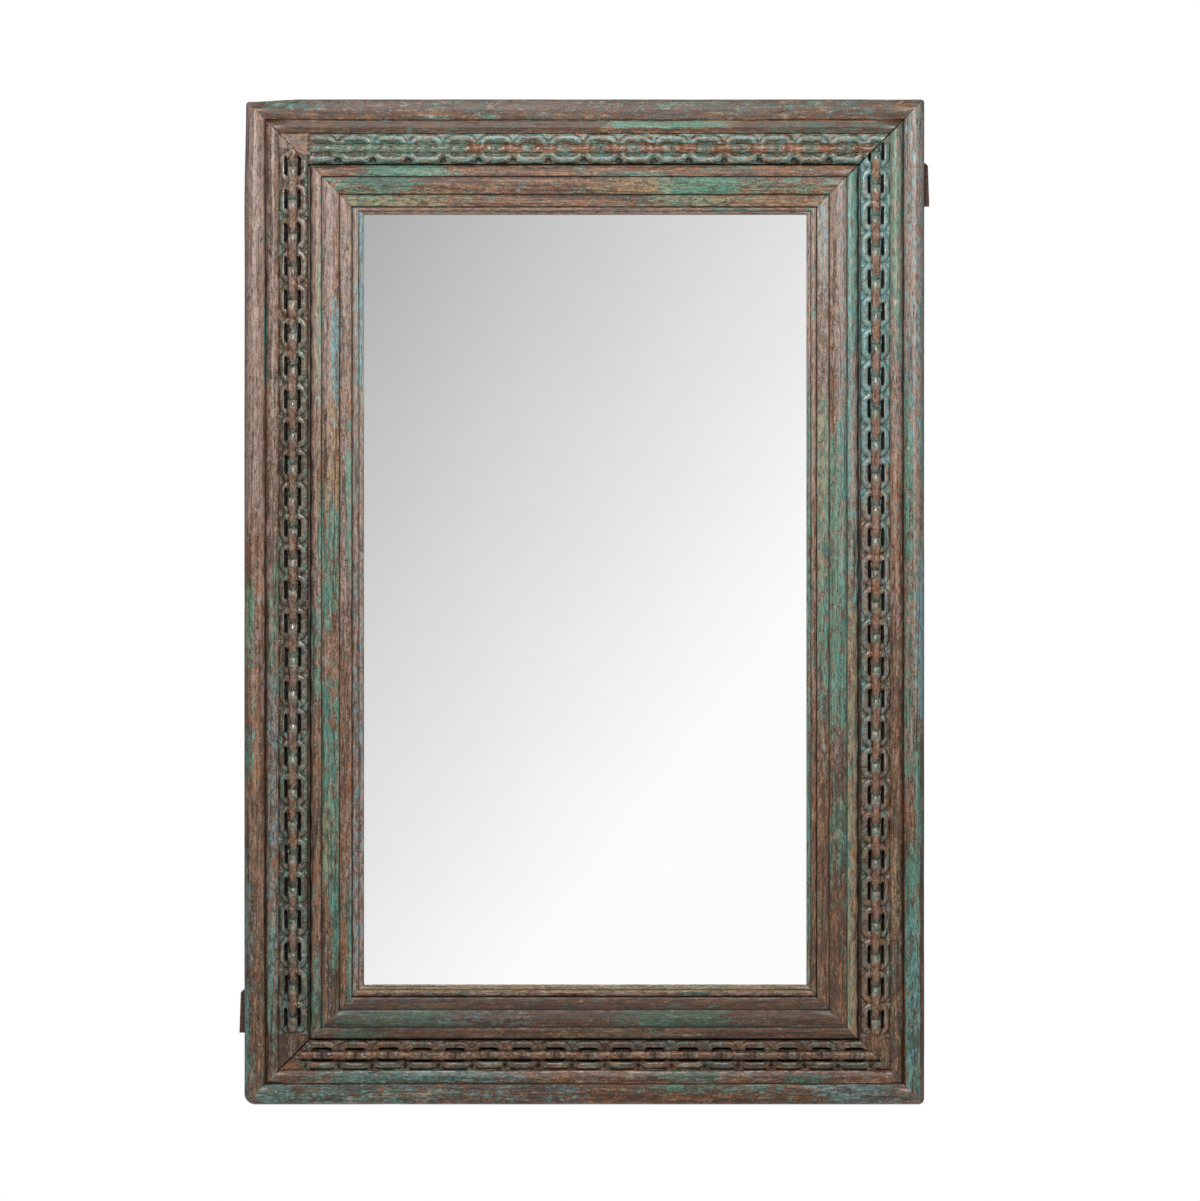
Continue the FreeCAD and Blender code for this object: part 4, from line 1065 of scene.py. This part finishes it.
def old_timber(name, woods, gloss, film):
    """Painted old timber: wood by streak, six paints by their covers, then dirt with painted shade
    and wear with painted highlights. The film is the share of the turquoise that hides the wood below
    it."""
    material, tree, shader = blank_finish(name)
    grain, matt = mark(tree, "grain"), mark(tree, "matt")
    old = use_group(tree, grain_group, {"Grain": grain})
    streak, fleck, speck, drift = (old[key] for key in ("Streak", "Fleck", "Speck", "Drift"))
    feeds = {"Grain": grain, "Hollow": mark(tree, "hollow"), "Arris": mark(tree, "arris")}
    wear_and_light = use_group(tree, wear_and_light_group, feeds)

    def flakes(paint, fineness):
        """Cover and rim of one paint, with flakes so many times finer than the usual."""
        feeds = {"Grain": grain, "Level": mark(tree, paint), "Fineness": fineness}
        return use_group(tree, paint_group, feeds)

    dark, middle, pale = woods
    tint = blend(tree, span(tree, streak, 0.36, 0.50), dark, middle)
    tint = blend(tree, span(tree, streak, 0.50, 0.66), tint, pale)
    tint = laid(tree, tint, drift, 0.45, WARM_BROWN)
    rusty = blend(tree, span(tree, streak, 0.38, 0.62), *RUST)
    tint = laid(tree, tint, flakes("rust", 0.7)["Cover"], 0.75, rusty)
    tint = laid(tree, tint, flakes("bloom", 1.5)["Cover"], 0.62, blend(tree, fleck, *BLOOM))

    thick = span(tree, mark(tree, "turquoise"), 0.52, 0.66)
    thin = sums(tree, "SUBTRACT", 1.0, thick)
    green = blend(tree, span(tree, streak, 0.35, 0.65), *GREEN)
    green = laid(tree, green, thick, 0.55, THICK_GREEN)
    green = laid(tree, green, times(tree, drift, 0.48), thin, blend(tree, fleck, *OLIVE))
    turquoise = flakes("turquoise", 1.0)
    tint = laid(tree, tint, turquoise["Rim"], 0.5, FLAKE_RIM)
    tint = laid(tree, tint, turquoise["Cover"], film, green)
    tint = laid(tree, tint, flakes("blue", 1.9)["Cover"], 0.8, blend(tree, fleck, *SKY))
    tint = laid(tree, tint, flakes("gold", 1.3)["Cover"], 0.72, CREAM)

    # Rubbed pale on the arrises. On the raised rod glints this is a painted highlight.
    tint = laid(tree, tint, wear_and_light["Rubbed and highlight"], 0.6, RUBBED_AND_HIGHLIGHT)
    shades = (fleck, 0.56, FLECK_GREY, 0.25, 0.6), (speck, 0.54, SPECK_GREY, 0.2, 0.32)
    for cells, high, grey, if_matt, always in shades:
        shade = blend(tree, span(tree, cells, 0.36, high), grey, WHITE)
        share = plus(tree, times(tree, matt, if_matt), always)
        tint = blend(tree, share, tint, shade, "MULTIPLY")
    tint = laid(tree, tint, span(tree, fleck, 0.60, 0.70), 0.4, DUST)
    tint = laid(tree, tint, span(tree, speck, 0.60, 0.68), 0.3, GRIT)
    tint = laid(tree, tint, old["Crack"], 0.7, CRACK)
    tint = laid(tree, tint, old["Thread"], 0.42, THREAD)
    tint = laid(tree, tint, flakes("dark", 0.8)["Cover"], 0.55, STAIN)
    # Painted shade: where the wax is lost the colour is darkened a little, standing in for the weaker
    # sheen.
    tint = blend(tree, matt, tint, LOW_SHEEN_SHADE, "MULTIPLY")
    # Dirt and painted shade in the hollows and along the steps, laid last.
    tint = laid(tree, tint, wear_and_light["Dirt and shade"], 0.92, DIRT_AND_SHADE)

    dull = span(tree, fleck, 0.25, 0.75, gloss - 0.08, gloss + 0.12)
    dull = plus(tree, dull, times(tree, matt, 0.14))
    dull = sums(tree, "SUBTRACT", dull, times(tree, wear_and_light["Rubbed and highlight"], 0.2))
    dull = plus(tree, dull, times(tree, wear_and_light["Dirt and shade"], 0.3), True)
    relief = plus(tree, times(tree, streak, 0.5), times(tree, fleck, 0.45))
    relief = plus(tree, relief, times(tree, turquoise["Cover"], 0.25))
    feed(tree, shader, Base_Color=tint, Roughness=dull, Normal=bump(tree, relief, 0.22, 0.0007))
    shader.inputs["Specular IOR Level"].default_value = 0.48
    return material


timbers = {
    "old_timber": old_timber("old timber", BROWNS, 0.38, 0.88),
    "carved_timber": old_timber("carved timber", CARVED_BROWNS, 0.27, 0.62),
    "painted_timber": old_timber("painted timber", BROWNS, 0.39, 0.88),
    "slip_timber": old_timber("slip timber", BROWNS, 0.40, 0.88),
}
for slot_name, pieces in carved.items():
    for piece in pieces:
        piece.data.materials.append(timbers[slot_name])
print("timbers:", list(timbers))

# %% [markdown]
# ## The mirror and the plain pieces behind
# The mirror is a metal surface with almost no roughness. The battens, the ply and the tenons
# are plain sawn wood, read in the object's own coordinates, and the screws, pins and hangers
# are zinc. Their construction shapes are already right, so they only get a finish.

# %% Finish the construction nodes


def in_place(tree):
    """The object's own coordinates, in metres."""
    return add(tree, "ShaderNodeTexCoord").outputs["Object"]


def sawn_wood(name, dark, pale, stretch, rough_at):
    """Sawn timber: two browns by streaks along one axis, with a low bump from the same."""
    material, tree, shader = blank_finish(name)
    streak = clouds(tree, in_place(tree), stretch, 5.0, 0.62)
    fine = clouds(tree, in_place(tree), tuple(3 * s for s in stretch), 3.0, 0.6)
    tint = blend(tree, span(tree, streak, 0.32, 0.68), colour(*dark), colour(*pale))
    shade = blend(tree, span(tree, fine, 0.3, 0.6), colour(150, 146, 142), WHITE)
    tint = blend(tree, 0.7, tint, shade, "MULTIPLY")
    dull = span(tree, fine, 0.3, 0.7, rough_at - 0.08, rough_at + 0.1)
    feed(tree, shader, Base_Color=tint, Roughness=dull, Normal=bump(tree, streak, 0.4, 0.0008))
    return material


def zinc(name, dark, pale, rough_at):
    """Plated steel: full metal, clouded a little in tone and gloss."""
    material, tree, shader = blank_finish(name)
    cloud = clouds(tree, in_place(tree), (420, 420, 420), 3.0, 0.6)
    tint = blend(tree, span(tree, cloud, 0.3, 0.7), colour(*dark), colour(*pale))
    dull = span(tree, cloud, 0.3, 0.7, rough_at, rough_at + 0.16)
    feed(tree, shader, Base_Color=tint, Roughness=dull)
    shader.inputs["Metallic"].default_value = 1.0
    return material


def silvering(name):
    """Mirror silver: full metal, nearly smooth, with the faintest clouding."""
    material, tree, shader = blank_finish(name)
    cloud = clouds(tree, in_place(tree), (6, 6, 6), 2.0, 0.5)
    tint = blend(tree, cloud, colour(250, 250, 250), colour(254, 254, 254))
    feed(tree, shader, Base_Color=tint, Roughness=span(tree, cloud, 0.2, 0.8, 0.012, 0.03))
    shader.inputs["Metallic"].default_value = 1.0
    return material


plain = {
    "mirror": silvering("mirror silver"),
    "ply": sawn_wood("backing ply", (120, 92, 64), (176, 142, 104), (14, 60, 220), 0.62),
    "batten_timber": sawn_wood("batten wood", (104, 80, 66), (150, 116, 98), (10, 160, 190), 0.58),
    "pin_steel": zinc("pin steel", (96, 92, 88), (140, 136, 130), 0.38),
    "screw_steel": zinc("screw steel", (128, 122, 108), (176, 170, 154), 0.3),
    "hanger_steel": zinc("hanger steel", (140, 138, 132), (192, 190, 184), 0.28),
    "tenon_timber": sawn_wood("tenon wood", (120, 88, 60), (170, 132, 96), (60, 60, 60), 0.6),
}
corners = ("top_left", "top_right", "bottom_left", "bottom_right")
nodes_of_slot = {
    "mirror": ["mirror_glass"],
    "ply": ["backing_board"],
    "batten_timber": ["back_batten_upper", "back_batten_lower"],
    "pin_steel": ["chain_pins", "moulding_pins"],
    "screw_steel": ["batten_screws", "board_screws", "hanger_screws"],
    "hanger_steel": [f"hanger_{part}_{at}" for part in ("strap", "ring") for at in ("left", "right")],
    "tenon_timber": [f"corner_tenon_{corner}" for corner in corners],
}
for slot_name, nodes in nodes_of_slot.items():
    for node in nodes:
        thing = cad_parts[node]
        thing.data.materials.clear()
        thing.data.materials.append(plain[slot_name])
print("finished construction nodes:", sum(map(len, nodes_of_slot.values())))

# %% [markdown]
# ## Studio
# The picture was taken square on with a long lens, against white, under soft light from in
# front and above that fades down the frame. The mirror shows the studio in front of it: pale
# grey toward the upper left, white toward the lower right, so rays that leave a shiny surface
# toward the camera see that slope of grey. In other directions they see a dim room with a glow
# overhead and at the sides, which gives worn edges their shine. Matt surfaces see one even dim
# room. A lamp behind lights the back, for views from there.

# %% Floor, light and room
FLOOR_CORNERS = [(-4, -4.5, -1.6), (4, -4.5, -1.6), (4, 1.7, -1.6), (-4, 1.7, -1.6)]
SEEN_WHITE = 0.75
SLOPE_ACROSS, SLOPE_UP, SLOPE_MIDDLE = 4.66, -3.56, 0.905
PURE_WHITE, EVEN_ROOM = (1, 1, 1, 1), (0.11, 0.11, 0.113, 1)
PAPER, DIM, OVERHEAD, ASIDE = ((tone, tone, tone, 1) for tone in (0.82, 0.16, 0.8, 0.5))

floor_mesh = bpy.data.meshes.new("studio_floor")
floor_mesh.from_pydata(FLOOR_CORNERS, [], [(0, 1, 2, 3)])
floor = bpy.data.objects.new("studio_floor", floor_mesh)
bpy.context.scene.collection.objects.link(floor)
paper, tree, shader = blank_finish("studio paper")
shader.inputs["Base Color"].default_value = PAPER
shader.inputs["Roughness"].default_value = 0.9
ray = add(tree, "ShaderNodeLightPath").outputs
seen = plus(tree, ray["Is Glossy Ray"], ray["Is Transmission Ray"])
seen = times(tree, plus(tree, ray["Is Camera Ray"], seen, True), SEEN_WHITE)
white = add(tree, "ShaderNodeEmission", {}, {"Color": PURE_WHITE, "Strength": 1.0}).outputs[0]
both = add(tree, "ShaderNodeMixShader", {}, {0: seen, 1: shader.outputs[0], 2: white})
tree.links.new(both.outputs[0], tree.nodes["Material Output"].inputs["Surface"])
floor_mesh.materials.append(paper)

world = bpy.data.worlds.new("studio room")
bpy.context.scene.world = world
world.use_nodes = True
tree = world.node_tree
tree.nodes.clear()
view = add(tree, "ShaderNodeTexCoord").outputs["Generated"]
toward = add(tree, "ShaderNodeSeparateXYZ", {}, {0: view}).outputs
slope = plus(tree, times(tree, toward["X"], SLOPE_ACROSS), times(tree, toward["Z"], SLOPE_UP))
tone = span(tree, plus(tree, slope, SLOPE_MIDDLE), 0.55, 1.0, 0.24, 1.0, "LINEAR")
grey = add(tree, "ShaderNodeCombineColor", {}, {0: tone, 1: tone, 2: tone}).outputs[0]
above = blend(tree, span(tree, toward["Z"], 0.30, 0.60), DIM, OVERHEAD)
sideways = span(tree, sums(tree, "ABSOLUTE", toward["X"]), 0.45, 0.80)
around = blend(tree, sideways, above, ASIDE)
reflected = blend(tree, span(tree, toward["Y"], -0.97, -0.992), around, grey)
ray = add(tree, "ShaderNodeLightPath").outputs
glossy = plus(tree, ray["Is Glossy Ray"], ray["Is Transmission Ray"], True)
room = blend(tree, glossy, EVEN_ROOM, reflected)
room = blend(tree, ray["Is Camera Ray"], room, PURE_WHITE)
back = add(tree, "ShaderNodeBackground", {}, {"Color": room, "Strength": 1.0})
tree.links.new(back.outputs[0], add(tree, "ShaderNodeOutputWorld").inputs["Surface"])


def lamp(name, place, aim, width, height, watts):
    """A soft box: a rectangle of light at a place, turned to face a point."""
    light = bpy.data.lights.new(name, "AREA")
    light.shape, light.size, light.size_y, light.energy = "RECTANGLE", width, height, watts
    thing = bpy.data.objects.new(name, light)
    bpy.context.scene.collection.objects.link(thing)
    thing.location = place
    way = np.array(aim, float) - np.array(place, float)
    way = way / np.linalg.norm(way)
    thing.rotation_euler = (math.acos(-way[2]), 0, math.atan2(-way[0], way[1]))
    return thing


key = lamp("key", (0.0, -1.8, 0.42), (0.0, 0.0, 0.0), 0.6, 0.5, 30)
fill = lamp("fill", (0.0, -3.6, -0.4), (0.0, 0.0, -0.2), 2.6, 1.4, 11)
fill.visible_glossy = False
rear = lamp("rear", (0.0, 2.2, 0.2), (0.0, 0.0, -0.45), 1.4, 1.2, 24)
rear.visible_camera = False
print("lamps:", [(t.name, t.data.energy) for t in (key, fill, rear)])

# %% [markdown]
# ## Camera
# The photograph shows 1.162 mm to the pixel at the frame's outer edge, which stands 52 mm off
# the wall, and hardly any perspective, so the camera stands 12 m off behind a long lens. The
# frame sits a little left of the middle.

# %% Camera
DISTANCE, PIXEL, PICTURE = 12.0, 1.162e-3, 1201
EDGE_FORWARD, SENSOR = 0.052, 36.0
RIGHT_OF_MIDDLE, ABOVE_MIDDLE = 0.0182, 0.0016
lens = bpy.data.cameras.new("camera")
lens.sensor_width = SENSOR
lens.lens = (DISTANCE - EDGE_FORWARD) / PIXEL / PICTURE * SENSOR
camera = bpy.data.objects.new("camera", lens)
bpy.context.scene.collection.objects.link(camera)
camera.location = (RIGHT_OF_MIDDLE, -DISTANCE, MIDDLE_Z * 0.001 + ABOVE_MIDDLE)
camera.rotation_euler = (math.pi / 2, 0, 0)
bpy.context.scene.camera = camera
bpy.context.scene.view_settings.view_transform = "Standard"
